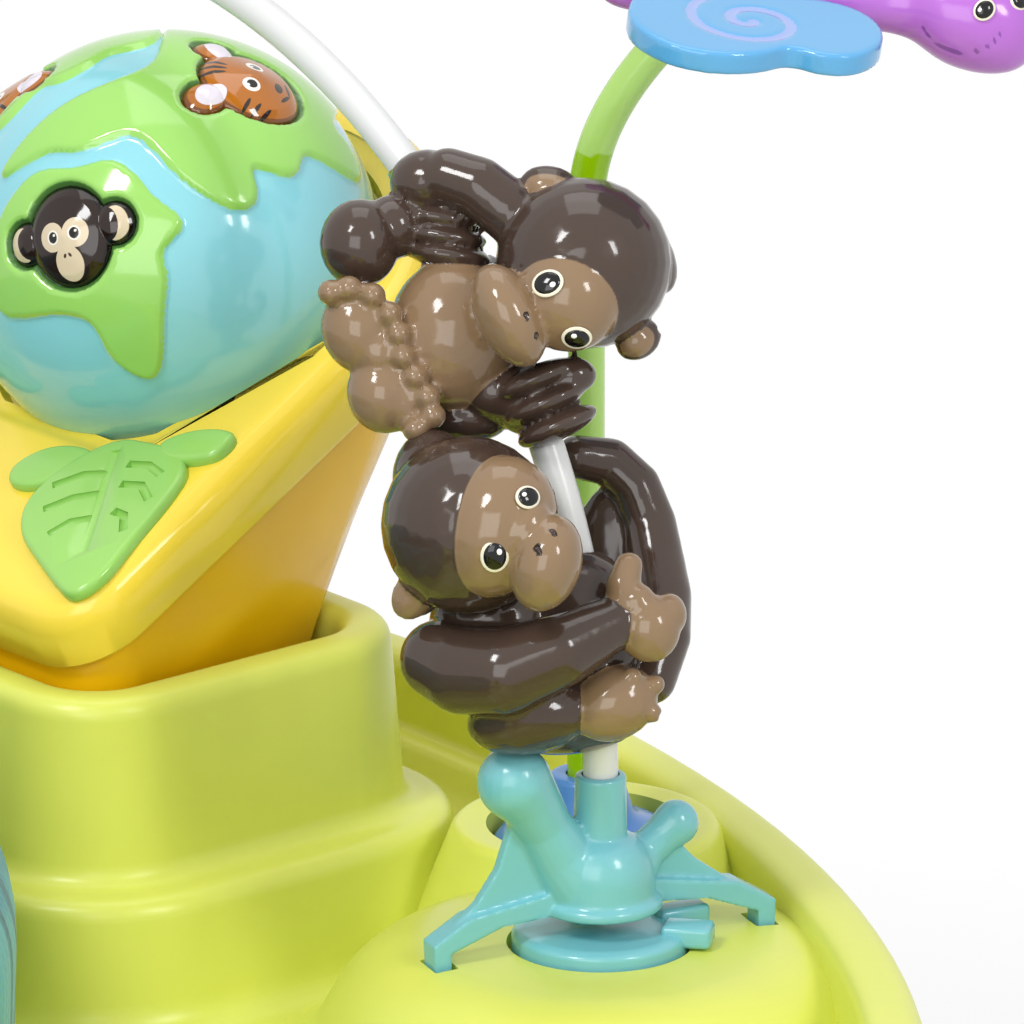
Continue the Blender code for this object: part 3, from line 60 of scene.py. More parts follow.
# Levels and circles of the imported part
PLATFORM_Z = 0.455
DECK_Z = 0.429
UNDER_Z = 0.424
SKIRT_Z = 0.377
RIM_Z = 0.459
SEAT_HOLE = 0.200
LEDGE_RADIUS = 0.184
LEDGE_Z = 0.412
POST = Vector((0.146, 0.299, 0.490))
BOSS = Vector((0.099, 0.335, 0.460))
SIDE = Vector((0.26795, 0.06186, PLATFORM_Z))
LEG_CIRCLE = 0.300
LEG_TURNS = [math.radians(angle) for angle in (30, 150, 270)]
SPLASH_TURN = math.radians(73)
LOCK_TURN = math.radians(40)
ROLLER_COUNT = 6
ROLLER_CIRCLE = 0.192
GLOBE_CENTRE = Vector((0.0, 0.3074, 0.562))
GLOBE_RADIUS = 0.0434
FACE_SLOPE = math.radians(31)
FACE_DROP = 0.0088
FACE_CENTRE = GLOBE_CENTRE + FACE_DROP * Vector((0.0, math.sin(FACE_SLOPE), -math.cos(FACE_SLOPE)))
FACE_FRAME = Matrix.Translation(FACE_CENTRE) @ Matrix.Rotation(FACE_SLOPE, 4, "X")

# Camera: the child's view over the right front of the tray
VIEW_TURN = math.radians(50)
VIEW_TILT = math.radians(18)
VIEW_DISTANCE = 3.2
VIEW_WIDTH = 0.2048
VIEW_RIGHT = Vector((math.cos(VIEW_TURN), math.sin(VIEW_TURN), 0.0))
VIEW_BACK = Vector((
    math.sin(VIEW_TURN) * math.cos(VIEW_TILT), -math.cos(VIEW_TURN) * math.cos(VIEW_TILT), math.sin(VIEW_TILT),
))
VIEW_UP = VIEW_BACK.cross(VIEW_RIGHT)
VIEW_TARGET = Vector((0.0888, 0.3242, 0.5247))


def view_frame(origin):
    """Frame whose X is right, Y up and Z towards the camera, at an origin."""
    return Matrix.Translation(origin) @ Matrix((VIEW_RIGHT, VIEW_UP, VIEW_BACK)).transposed().to_4x4()


def standing(place, height, turn):
    """Frame over a place at a height, turned about the upright."""
    return Matrix.Translation((place.x, place.y, height)) @ Matrix.Rotation(turn, 4, "Z")


def leg_place(turn):
    """Middle of a leg on the floor."""
    return Vector((LEG_CIRCLE * math.cos(turn), LEG_CIRCLE * math.sin(turn), 0.0))


def mirrored(place):
    """The same place on the other side of the tray."""
    return Vector((-place.x, place.y, place.z))


# Modelling helpers

def only(piece):
    """Select one piece and make it active."""
    bpy.ops.object.select_all(action="DESELECT")
    piece.select_set(True)
    bpy.context.view_layer.objects.active = piece


def new_piece(name, points, edges=(), faces=()):
    """Mesh object from points, edges and faces."""
    mesh = bpy.data.meshes.new(name)
    mesh.from_pydata([tuple(point) for point in points], edges, faces)
    piece = bpy.data.objects.new(name, mesh)
    bpy.context.scene.collection.objects.link(piece)
    only(piece)
    return piece


def primitive(name, maker, location=(0, 0, 0), **settings):
    """Add one of the ready-made meshes."""
    bpy.ops.object.select_all(action="DESELECT")
    maker(location=location, **settings)
    bpy.context.object.name = name
    return bpy.context.object


def heal(piece):
    """Merge doubled points and turn every face outwards."""
    only(piece)
    bpy.ops.object.mode_set(mode="EDIT")
    bpy.ops.mesh.select_all(action="SELECT")
    bpy.ops.mesh.remove_doubles(threshold=1e-6)
    bpy.ops.mesh.normals_make_consistent(inside=False)
    bpy.ops.object.mode_set(mode="OBJECT")
    return piece


def rounded(corners, closed=False, steps=5):
    """Polyline with each corner (a, b, fillet) rounded by an arc-like curve."""
    out = []
    count = len(corners)
    for place, (x, y, fillet) in enumerate(corners):
        corner = Vector((x, y))
        if not fillet or (not closed and place in (0, count - 1)):
            out.append((x, y))
            continue
        before = Vector(corners[place - 1][:2]) - corner
        after = Vector(corners[(place + 1) % count][:2]) - corner
        reach = min(fillet, 0.48 * before.length, 0.48 * after.length)
        start = corner + before.normalized() * reach
        end = corner + after.normalized() * reach
        for step in range(steps + 1):
            share = step / steps
            point = start.lerp(corner, share).lerp(corner.lerp(end, share), share)
            out.append((point.x, point.y))
    return out


def spun(name, profile, steps=64, closed=False):
    """Spin a profile of (radius, height) about the Z axis."""
    edges = [(place, place + 1) for place in range(len(profile) - 1)]
    if closed:
        edges.append((len(profile) - 1, 0))
    piece = new_piece(name, [(radius, 0.0, height) for radius, height in profile], edges)
    bpy.ops.object.mode_set(mode="EDIT")
    bpy.ops.mesh.select_all(action="SELECT")
    bpy.ops.mesh.spin(steps=steps, angle=FULL_TURN, center=(0, 0, 0), axis=(0, 0, 1))
    bpy.ops.object.mode_set(mode="OBJECT")
    return heal(piece)


def skinned(name, rings, cap=True):
    """Skin over rings of equal count."""
    count = len(rings[0])
    points = [point for ring in rings for point in ring]
    faces = []
    for level in range(len(rings) - 1):
        for step in range(count):
            after = (step + 1) % count
            low, high = level * count, (level + 1) * count
            faces.append((low + step, low + after, high + after, high + step))
    if cap:
        faces.append(tuple(range(count)))
        faces.append(tuple(range(len(points) - count, len(points))))
    return heal(new_piece(name, points, (), faces))


def tube(name, points, radius, resolution=8):
    """Round bar along a path, capped at both ends."""
    curve = bpy.data.curves.new(name, "CURVE")
    curve.dimensions = "3D"
    curve.bevel_depth = radius
    curve.bevel_resolution = resolution
    curve.use_fill_caps = True
    spline = curve.splines.new("POLY")
    spline.points.add(len(points) - 1)
    for knot, point in zip(spline.points, points):
        knot.co = (*point, 1.0)
    piece = bpy.data.objects.new(name, curve)
    bpy.context.scene.collection.objects.link(piece)
    only(piece)
    bpy.ops.object.convert(target="MESH")
    return bpy.context.object


def slab(name, outline, low, high, edge=0.0, segments=3):
    """Flat plate of a closed outline between two heights, with bevelled rims."""
    piece = new_piece(name, [(x, y, low) for x, y in outline], (), [tuple(range(len(outline)))])
    bpy.ops.object.mode_set(mode="EDIT")
    bpy.ops.mesh.select_all(action="SELECT")
    bpy.ops.mesh.extrude_region_move(TRANSFORM_OT_translate={"value": (0, 0, high - low)})
    bpy.ops.object.mode_set(mode="OBJECT")
    heal(piece)
    if edge:
        change(piece, "BEVEL", width=edge, segments=segments, limit_method="ANGLE",
               angle_limit=math.radians(50))
    return piece


def box(name, low, high, edge=0.0):
    """Block between two corners, with bevelled edges."""
    low, high = Vector(low), Vector(high)
    piece = primitive(name, bpy.ops.mesh.primitive_cube_add, size=1)
    moved(piece, Matrix.Translation((low + high) / 2) @ Matrix.Diagonal((*(high - low), 1.0)))
    if edge:
        change(piece, "BEVEL", width=edge, segments=3)
    return piece


def change(piece, kind, **settings):
    """Add a modifier with its settings and apply it."""
    only(piece)
    step = piece.modifiers.new(kind.lower(), kind)
    for key, value in settings.items():
        setattr(step, key, value)
    bpy.ops.object.modifier_apply(modifier=step.name)
    return piece


def combine(piece, tool, operation):
    """Join, cut or trim a piece by a tool, which is used up."""
    change(piece, "BOOLEAN", operation=operation, solver="EXACT", object=tool)
    bpy.data.objects.remove(tool, do_unlink=True)
    return piece


def melted(piece, voxel, smooth=0):
    """Remesh into one skin of even cells, and smooth it."""
    piece.data.remesh_voxel_size = voxel
    only(piece)
    bpy.ops.object.voxel_remesh()
    if smooth:
        change(piece, "SMOOTH", factor=0.5, iterations=smooth)
    return piece


def moved(piece, place):
    """Move the mesh itself by a matrix."""
    piece.data.transform(place)
    return piece


def joined(pieces):
    """One piece of several."""
    bpy.ops.object.select_all(action="DESELECT")
    for piece in pieces:
        piece.select_set(True)
    bpy.context.view_layer.objects.active = pieces[0]
    bpy.ops.object.join()
    return pieces[0]


def copied(piece, name, place):
    """Copy with its own mesh, moved to a place."""
    twin = piece.copy()
    twin.data = piece.data.copy()
    twin.name = name
    bpy.context.scene.collection.objects.link(twin)
    return moved(twin, place)


def shade(piece, angle=35):
    """Smooth shading with sharp edges over an angle."""
    only(piece)
    bpy.ops.object.shade_smooth_by_angle(angle=math.radians(angle))


def set_up(piece, material, body, nodes=(), angle=35, weighted=False):
    """Shade a finished piece, give it its finish and body, and hide the CAD nodes that it stands for."""
    shade(piece, angle)
    if weighted:
        change(piece, "WEIGHTED_NORMAL", keep_sharp=True)
    piece.data.materials.clear()
    piece.data.materials.append(material)
    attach(piece, body)
    if nodes:
        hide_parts(*nodes)
    return piece


def points_of(piece):
    """Points of a mesh as rows."""
    values = np.zeros(len(piece.data.vertices) * 3)
    piece.data.vertices.foreach_get("co", values)
    return values.reshape(-1, 3)


def polar(points):
    """Angle and distance of points about the Z axis."""
    return np.arctan2(points[:, 1], points[:, 0]), np.hypot(points[:, 0], points[:, 1])


def put_points(piece, values):
    """Put changed points back into a mesh."""
    piece.data.vertices.foreach_set("co", values.ravel())
    piece.data.update()


def select_points(piece, chosen):
    """Select points by a list of flags and stay in edit mode."""
    only(piece)
    bpy.ops.object.mode_set(mode="EDIT")
    bpy.ops.mesh.select_mode(type="VERT")
    bpy.ops.mesh.select_all(action="DESELECT")
    bpy.ops.object.mode_set(mode="OBJECT")
    for point, flag in zip(piece.data.vertices, chosen):
        point.select = bool(flag)
    bpy.ops.object.mode_set(mode="EDIT")


def paint(piece, name, distance, soft):
    """Store a painted area as an attribute: 1 inside, 0 outside, from a signed distance."""
    values = np.clip(0.5 - distance / (2 * soft), 0.0, 1.0)
    layer = piece.data.attributes.new(name, "FLOAT", "POINT")
    layer.data.foreach_set("value", values.astype(np.float32))


def polygon_distance(points, outline):
    """Signed distance of 2-D points to a closed outline, negative inside."""
    outline = np.array(outline, float)
    best = np.full(len(points), 1e9)
    inside = np.zeros(len(points), bool)
    for start, end in zip(outline, np.roll(outline, -1, axis=0)):
        edge = end - start
        away = points - start
        share = np.clip(away @ edge / max(edge @ edge, 1e-12), 0, 1)
        best = np.minimum(best, np.hypot(*(away - share[:, None] * edge).T))
        crosses = (start[1] > points[:, 1]) != (end[1] > points[:, 1])
        slope = edge[0] / (edge[1] if abs(edge[1]) > 1e-12 else 1e-12)
        inside ^= crosses & (points[:, 0] < start[0] + slope * (points[:, 1] - start[1]))
    return np.where(inside, -best, best)


def oval_distance(x, y, centre, radii, turn=0.0):
    """Near distance to an oval turned by an angle in degrees."""
    c, s = math.cos(math.radians(turn)), math.sin(math.radians(turn))
    across = (x - centre[0]) * c + (y - centre[1]) * s
    along = -(x - centre[0]) * s + (y - centre[1]) * c
    return (np.hypot(across / radii[0], along / radii[1]) - 1) * min(radii)


def pair_distance(x, y, centre, radii, turn=0.0, shift=0.0):
    """Near distance to two ovals that mirror each other about the middle, both shifted sideways."""
    places = [(side * centre[0] + shift, centre[1]) for side in (-1, 1)]
    return np.minimum(oval_distance(x, y, places[0], radii, -turn), oval_distance(x, y, places[1], radii, turn))


def smooth_outline(corners, per_corner=6):
    """Closed outline rounded at every corner by a quadratic curve through the edge middles."""
    out = []
    count = len(corners)
    for place in range(count):
        corner = Vector(corners[place])
        start = corner.lerp(Vector(corners[place - 1]), 0.5)
        end = corner.lerp(Vector(corners[(place + 1) % count]), 0.5)
        for step in range(per_corner):
            share = step / per_corner
            point = start.lerp(corner, share).lerp(corner.lerp(end, share), share)
            out.append((point.x, point.y))
    return out


# Finishes

def linear(text):
    """Linear colour of an sRGB hex value."""
    channels = [int(text[place:place + 2], 16) / 255 for place in (1, 3, 5)]
    return tuple(c / 12.92 if c <= 0.04045 else ((c + 0.055) / 1.055) ** 2.4 for c in channels) + (1.0,)


def add(tree, kind, values=None, links=None, **settings):
    """Add a node with its settings, socket values and links."""
    node = tree.nodes.new(kind)
    for key, value in settings.items():
        setattr(node, key, value)
    for socket, value in (values or {}).items():
        node.inputs[socket].default_value = value
    for socket, source in (links or {}).items():
        tree.links.new(source, node.inputs[socket])
    return node


def blend(tree, share, low, high):
    """Mix of two colours, each a fixed colour or another node's output."""
    node = add(tree, "ShaderNodeMix", None, {0: share}, data_type="RGBA")
    for place, colour in ((6, low), (7, high)):
        if isinstance(colour, tuple):
            node.inputs[place].default_value = colour
        else:
            tree.links.new(colour, node.inputs[place])
    return node.outputs[2]


def new_finish(name):
    """New material, with its tree, its shader and the coordinates of the object that it is on."""
    material = bpy.data.materials.new(name)
    material.use_nodes = True
    tree = material.node_tree
    return material, tree, tree.nodes["Principled BSDF"], add(tree, "ShaderNodeTexCoord").outputs["Object"]


def moulding(name, colour, roughness, painted=(), peel_mm=2.5, peel=0.05, drift=0.05, subsurface=0.0, coat=0.0):
    """Moulded plastic: a slow tint drift, uneven gloss, faint orange peel, and painted areas on top."""
    material, tree, shader, place = new_finish(name)
    flow = add(tree, "ShaderNodeTexNoise", {"Scale": 1 / 0.030, "Detail": 4.0}, {"Vector": place})
    tone = add(tree, "ShaderNodeMapRange", {"To Min": 1 - drift, "To Max": 1 + drift},
               {"Value": flow.outputs["Fac"]})
    colour_out = add(tree, "ShaderNodeHueSaturation", {"Color": linear(colour)},
                     {"Value": tone.outputs["Result"]})
    colour_out = colour_out.outputs["Color"]
    for attribute, paint_colour in painted:
        area = add(tree, "ShaderNodeAttribute", attribute_name=attribute)
        edge = add(tree, "ShaderNodeMapRange", {"From Min": 0.35, "From Max": 0.65},
                   {"Value": area.outputs["Fac"]})
        colour_out = blend(tree, edge.outputs["Result"], colour_out, linear(paint_colour))
    tree.links.new(colour_out, shader.inputs["Base Color"])
    gloss = add(tree, "ShaderNodeMapRange", {"To Min": roughness * 0.8, "To Max": roughness * 1.2},
                {"Value": flow.outputs["Fac"]})
    tree.links.new(gloss.outputs["Result"], shader.inputs["Roughness"])
    grain = add(tree, "ShaderNodeTexNoise", {"Scale": 1 / (peel_mm * MM), "Detail": 2.0}, {"Vector": place})
    bump = add(tree, "ShaderNodeBump", {"Strength": peel, "Distance": 0.0004}, {"Height": grain.outputs["Fac"]})
    tree.links.new(bump.outputs["Normal"], shader.inputs["Normal"])
    shader.inputs["IOR"].default_value = 1.49
    shader.inputs["Coat Weight"].default_value = coat
    if subsurface:
        shader.inputs["Subsurface Weight"].default_value = subsurface
        shader.inputs["Subsurface Radius"].default_value = (0.004, 0.004, 0.002)
    return material


# Blow-moulded polyethylene: satin, a little uneven, soft in its highlights
lime_polyethylene = moulding("lime_polyethylene", "#DBE163", 0.34, peel_mm=3.0, peel=0.10, subsurface=0.06)
# Injected ABS in toy colours: high gloss with a trace of orange peel
yellow_abs = moulding("yellow_abs", "#FCDC4A", 0.16)
amber_abs = moulding("amber_abs", "#F2BC0A", 0.20)
leaf_abs = moulding("leaf_abs", "#9AD067", 0.17)
teal_abs = moulding("teal_abs", "#79BFC9", 0.20)
white_tube = moulding("white_tube", "#DCDDDC", 0.28)
fur_abs = moulding("brown_abs", "#46372F", 0.11, painted=[("tan", "#8C7256")], peel_mm=4.0, peel=0.04)
eye_rim_paint = moulding("cream_paint", "#EDE6D2", 0.2)
eye_paint = moulding("black_paint", "#0B0A0A", 0.08)
catch_paint = moulding("white_paint", "#FFFFFF", 0.2)
# The globe's seam green is painted shade: a darker ring in the gap round each button
globe_abs = moulding("globe_abs", "#8DD3E0", 0.12, painted=[("land", "#9BD566"), ("shaded_seam", "#4F7F3A")], coat=0.3)
# The monkey's rim colour is painted shade: a darker band along the face's rounded edge
monkey_abs = moulding("monkey_abs", "#24140D", 0.08, painted=[
    ("mask", "#DBC9AC"), ("rim", "#0E0906"), ("white", "#F4EEE2"), ("pupil", "#0C0908"), ("nose", "#4B3322"),
])
# The tiger's rim colour is painted shade: a darker orange band along the face's rounded edge
tiger_abs = moulding("tiger_abs", "#B3680E", 0.10, painted=[
    ("ear", "#E6DEEA"), ("rim", "#7A4208"), ("stripe", "#2A1A0C"), ("white", "#F8F4EC"), ("pupil", "#0C0908"),
], coat=0.4)
post_abs = moulding("post_green_abs", "#B4DD74", 0.2, painted=[("band", "#98C800")], subsurface=0.1)
wing_abs = moulding("wing_blue_abs", "#5AA6DA", 0.14, painted=[("swirl", "#93A9E0")], coat=0.3)
# The smile colour is painted shade: darker purple in the pressed smile groove
purple_abs = moulding("purple_abs", "#B56CCE", 0.16, painted=[("shaded_smile", "#8A4AA6")])
flange_abs = moulding("flange_blue_abs", "#4A84CC", 0.2)
leg_abs = moulding("leg_white_abs", "#E6E5DF", 0.3)
latch_abs = moulding("latch_orange_abs", "#EE8A1E", 0.28)
ring_teal_abs = moulding("ring_teal_abs", "#5FB4BC", 0.3)
pad_rubber = moulding("pad_rubber", "#26262A", 0.75, peel_mm=0.8, peel=0.3)
dish_polyethylene = moulding("dish_polyethylene", "#C6D648", 0.4, peel_mm=3.0, peel=0.12)


def spring_steel():
    """Drawn wire: bright, with fine lengthwise scratches."""
    material, tree, shader, place = new_finish("spring_steel")
    shader.inputs["Base Color"].default_value = linear("#B9BBBE")
    shader.inputs["Metallic"].default_value = 1.0
    scratch = add(tree, "ShaderNodeTexNoise", {"Scale": 900.0, "Detail": 3.0}, {"Vector": place})
    gloss = add(tree, "ShaderNodeMapRange", {"To Min": 0.22, "To Max": 0.42}, {"Value": scratch.outputs["Fac"]})
    tree.links.new(gloss.outputs["Result"], shader.inputs["Roughness"])
    return material


LEAF_SIZE = 0.034


def leafy_cloth(name, ground, leaf, vein):
    """Printed polyester: woven threads, with a plain leafy print in three tones."""
    material, tree, shader, place = new_finish(name)
    cells = add(tree, "ShaderNodeTexVoronoi", {"Scale": 1 / LEAF_SIZE}, {"Vector": place}, feature="SMOOTH_F1")
    leaves = add(tree, "ShaderNodeMapRange", {"From Min": 0.34, "From Max": 0.40},
                 {"Value": cells.outputs["Distance"]})
    edges = add(tree, "ShaderNodeTexVoronoi", {"Scale": 1 / LEAF_SIZE}, {"Vector": place},
                feature="DISTANCE_TO_EDGE")
    veins = add(tree, "ShaderNodeMapRange", {"From Min": 0.03, "From Max": 0.06},
                {"Value": edges.outputs["Distance"]})
    printed = blend(tree, leaves.outputs["Result"], linear(leaf), linear(ground))
    tree.links.new(blend(tree, veins.outputs["Result"], linear(vein), printed), shader.inputs["Base Color"])
    # Threads lie about 2.4 mm apart, coarser than real ones, so that the weave shows in the render
    threads = {"Scale": 1 / 0.0075, "Distortion": 1.0}
    weave = add(tree, "ShaderNodeTexWave", threads, {"Vector": place})
    cross = add(tree, "ShaderNodeTexWave", threads, {"Vector": place}, bands_direction="Z")
    both = add(tree, "ShaderNodeMath", None, {0: weave.outputs["Fac"], 1: cross.outputs["Fac"]},
               operation="MAXIMUM")
    bump = add(tree, "ShaderNodeBump", {"Strength": 0.35, "Distance": 0.0004}, {"Height": both.outputs[0]})
    tree.links.new(bump.outputs["Normal"], shader.inputs["Normal"])
    shader.inputs["Roughness"].default_value = 0.85
    shader.inputs["Sheen Weight"].default_value = 0.25
    return material


steel_wire = spring_steel()
collar_cloth = leafy_cloth("collar_polyester", "#3E8FA0", "#5BA9B2", "#2C6F80")
piping_cloth = leafy_cloth("piping_polyester", "#2B7486", "#2F7C8E", "#276A7B")
sling_cloth = leafy_cloth("sling_polyester", "#357E92", "#3F8CA0", "#2B6C7E")


# Stage, light and camera

def make_stage():
    """White floor that fades into the white background at a distance."""
    floor = primitive("floor", bpy.ops.mesh.primitive_plane_add, (0, 0, -0.0005), size=14)
    material, tree, shader, place = new_finish("pale_floor")
    shader.inputs["Base Color"].default_value = linear("#F4F4F2")
    shader.inputs["Roughness"].default_value = 0.7
    reach = add(tree, "ShaderNodeVectorMath", None, {0: place}, operation="LENGTH")
    far = add(tree, "ShaderNodeMapRange", {"From Min": 0.75, "From Max": 1.5},
              {"Value": reach.outputs["Value"]})
    ray = add(tree, "ShaderNodeLightPath")
    seen = add(tree, "ShaderNodeMath", None, {0: ray.outputs["Is Camera Ray"], 1: ray.outputs["Is Glossy Ray"]},
               operation="MAXIMUM")
    both = add(tree, "ShaderNodeMath", None, {0: seen.outputs[0], 1: far.outputs["Result"]},
               operation="MULTIPLY")
    glow = add(tree, "ShaderNodeEmission", {"Color": (1, 1, 1, 1), "Strength": 1.0})
    mix = add(tree, "ShaderNodeMixShader", None, {0: both.outputs[0], 1: shader.outputs[0], 2: glow.outputs[0]})
    tree.links.new(mix.outputs[0], tree.nodes["Material Output"].inputs["Surface"])
    floor.data.materials.append(material)


def make_world():
    """White background, dimmer as a light than it looks to the camera and in reflections."""
    world = bpy.data.worlds.new("studio_white")
    bpy.context.scene.world = world
    world.use_nodes = True
    tree = world.node_tree
    ray = add(tree, "ShaderNodeLightPath")
    clear = add(tree, "ShaderNodeMath", None,
                {0: ray.outputs["Is Camera Ray"], 1: ray.outputs["Is Transmission Ray"]}, operation="MAXIMUM")
    seen = add(tree, "ShaderNodeMath", None, {0: clear.outputs[0], 1: ray.outputs["Is Glossy Ray"]},
               operation="MAXIMUM")
    strength = add(tree, "ShaderNodeMapRange", {"To Min": 0.56, "To Max": 1.0}, {"Value": seen.outputs[0]})
    tree.links.new(strength.outputs["Result"], tree.nodes["Background"].inputs["Strength"])
    tree.nodes["Background"].inputs["Color"].default_value = (1, 1, 1, 1)


def make_lamp(name, place, size, power):
    """Softbox aimed at the toys."""
    lamp = bpy.data.lights.new(name, "AREA")
    lamp.shape = "RECTANGLE"
    lamp.size, lamp.size_y = size
    lamp.energy = power
    item = bpy.data.objects.new(name, lamp)
    item.location = VIEW_TARGET + Vector(place)
    item.rotation_euler = Vector(place).to_track_quat("Z", "Y").to_euler()
    bpy.context.scene.collection.objects.link(item)


def make_camera():
    data = bpy.data.cameras.new("camera")
    data.sensor_width = 36.0
    data.lens = data.sensor_width * VIEW_DISTANCE / VIEW_WIDTH
    item = bpy.data.objects.new("camera", data)
    item.location = VIEW_TARGET + VIEW_BACK * VIEW_DISTANCE
    item.rotation_euler = VIEW_BACK.to_track_quat("Z", "Y").to_euler()
    bpy.context.scene.collection.objects.link(item)
    bpy.context.scene.camera = item


bpy.context.scene.view_settings.view_transform = "Standard"
make_stage()
make_world()
make_lamp("key_softbox", VIEW_RIGHT * -0.75 + VIEW_UP * 1.0 + VIEW_BACK * 1.25, (0.32, 0.48), 11)
make_lamp("fill_softbox", VIEW_RIGHT * 0.95 + VIEW_UP * 0.55 + VIEW_BACK * 1.2, (0.30, 0.46), 7)
make_lamp("top_softbox", VIEW_UP * 1.5 + VIEW_BACK * 0.1, (0.9, 0.9), 4)
make_lamp("front_softbox", VIEW_RIGHT * -0.5 + VIEW_UP * 0.1 + VIEW_BACK * 2.0, (1.1, 1.1), 11)
make_camera()


# Tray

def block_ring(grow, height):
    """Rounded rectangle of the console block, grown outwards, at a height."""
    half, front, rear, corner = 0.063 + grow, 0.234 - grow, 0.323 + grow, 0.020 + grow
    points = []
    for x, y, start in ((half - corner, rear - corner, 0), (corner - half, rear - corner, 90),
                        (corner - half, front + corner, 180), (half - corner, front + corner, 270)):
        for step in range(13):
            turn = math.radians(start + 90 * step / 12)
            points.append((x + corner * math.cos(turn), y + corner * math.sin(turn), height))
    return points


def make_block():
    """Console block: flared foot, soft shelf, upright walls and the pocket that holds the console."""
    profile = rounded([
        (0.040, DECK_Z - 0.003, 0), (0.030, DECK_Z - 0.0003, 0.004), (0.017, DECK_Z + 0.001, 0.008),
        (0.0135, PLATFORM_Z + 0.002, 0.007), (0.004, PLATFORM_Z + 0.002, 0.006),
        (0.001, PLATFORM_Z + 0.040, 0.0045), (-0.009, PLATFORM_Z + 0.040, 0.004),
        (-0.009, PLATFORM_Z - 0.020, 0.001), (-0.020, PLATFORM_Z - 0.020, 0),
    ], steps=7)
    return skinned("block", [block_ring(grow, height) for grow, height in profile])


def make_mound(name, place):
    """Round mound with a flat top for a toy."""
    profile = rounded([
        (0.0, PLATFORM_Z, 0), (0.047, PLATFORM_Z, 0.020), (0.061, DECK_Z, 0.014),
        (0.082, DECK_Z - 0.0002, 0.004), (0.082, DECK_Z - 0.003, 0), (0.0, DECK_Z - 0.003, 0),
    ], steps=9)
    return moved(spun(name, profile, 96), Matrix.Translation((place.x, place.y, 0)))


def make_boss(name, place):
    """Round boss that holds a toy post."""
    profile = rounded([
        (0.0, 0.457, 0), (0.0215, 0.4595, 0.002), (0.0265, 0.460, 0.004), (0.0320, 0.446, 0.006),
        (0.0385, DECK_Z, 0.010), (0.056, DECK_Z - 0.0002, 0.004), (0.056, DECK_Z - 0.003, 0),
        (0.0, DECK_Z - 0.003, 0),
    ], steps=7)
    return moved(spun(name, profile, 80), Matrix.Translation((place.x, place.y, 0)))


def drill(name, place, radius, low, high, steps=64):
    """Round cutter between two heights."""
    profile = [(0.0, low), (radius, low), (radius, high), (0.0, high)]
    return moved(spun(name, profile, steps), Matrix.Translation((place.x, place.y, 0)))


def make_tray():
    """Blow-moulded tray: spun shell with its block, mounds, bosses and leg sockets, then every hole in them."""
    deck = [(SEAT_HOLE + 0.149 * share, DECK_Z, 0) for share in (0.2, 0.4, 0.6, 0.8)]
    profile = rounded([
        (0.3745, RIM_Z, 0.004), (0.3872, RIM_Z, 0.0065), (0.381, SKIRT_Z, 0.002), (0.377, SKIRT_Z, 0.002),
        (0.365, UNDER_Z, 0.004), (0.204, UNDER_Z, 0.002), (0.204, 0.406, 0.001), (LEDGE_RADIUS, 0.406, 0.002),
        (LEDGE_RADIUS, LEDGE_Z, 0.001), (SEAT_HOLE, LEDGE_Z, 0.001), (SEAT_HOLE, DECK_Z, 0.005), *deck,
        (0.351, DECK_Z, 0.02), (0.3655, 0.4355, 0.010), (0.3695, 0.4435, 0.003), (0.3735, 0.4442, 0.002),
    ], closed=True, steps=6)
    tray = spun("tray_shell", profile, 192, closed=True)
    limit = [(0.0, 0.40), (0.3812, 0.40), (0.3812, 0.50), (0.0, 0.50)]
    adds = [make_block()]
    for side in (POST, mirrored(POST)):
        adds.append(combine(make_mound("arch_mound", side), spun("limit", limit, 192), "INTERSECT"))
    for side in (BOSS, mirrored(BOSS)):
        adds.append(combine(make_boss("toy_boss", side), spun("limit", limit, 192), "INTERSECT"))
    for side in (SIDE, mirrored(SIDE)):
        adds.append(make_mound("side_mound", side))
    for turn in LEG_TURNS:
        socket = spun("leg_socket", rounded([
            (0.0, 0.325, 0), (0.027, 0.325, 0.002), (0.029, 0.416, 0.006), (0.040, 0.4262, 0), (0.0, 0.4262, 0),
        ]), 48)
        adds.append(moved(socket, Matrix.Translation(leg_place(turn))))
    for piece in adds:
        combine(tray, piece, "UNION")
    cuts = []
    for side, turn in ((POST, SPLASH_TURN), (mirrored(POST), math.pi - SPLASH_TURN)):
        cuts.append(drill("lock_seat", side, 0.0186, PLATFORM_Z - 0.0034, 0.48))
        for half_turn in (0, math.pi):
            slot = box("foot_slot", (0.0320, -0.0042, -0.0062), (0.0370, 0.0042, 0.02), 0.0006)
            place = standing(side, PLATFORM_Z, turn)
            cuts.append(moved(slot, place @ Matrix.Rotation(half_turn, 4, "Z")))
    for side in (BOSS, mirrored(BOSS)):
        cuts.append(drill("boss_hole", side, 0.0201, 0.444, 0.48))
    cuts.append(drill("sprout_hole", SIDE, 0.0063, 0.443, 0.48))
    well = spun("snack_well", rounded([
        (0.0, 0.439, 0), (0.034, 0.439, 0.008), (0.041, 0.4535, 0.004), (0.050, 0.457, 0), (0.0, 0.457, 0),
    ], steps=8), 96)
    cuts.append(moved(well, Matrix.Translation((-SIDE.x, SIDE.y, 0))))
    for turn in LEG_TURNS:
        cuts.append(drill("leg_bore", leg_place(turn), 0.0195, 0.30, 0.4122))
        latch = box("latch_slot", (0.010, -0.0075, 0.3315), (0.05, 0.0075, 0.3505), 0.001)
        cuts.append(moved(latch, standing(leg_place(turn), 0.0, turn)))
    for step in range(ROLLER_COUNT):
        pocket = box("roller_pocket", (0.1870, -0.0045, 0.4095), (0.1970, 0.0045, 0.416))
        cuts.append(moved(pocket, Matrix.Rotation(FULL_TURN * step / ROLLER_COUNT, 4, "Z")))
    for piece in cuts:
        combine(tray, piece, "DIFFERENCE")
    set_up(tray, lime_polyethylene, "tray_body", ["tray"], weighted=True)


make_tray()


# Console

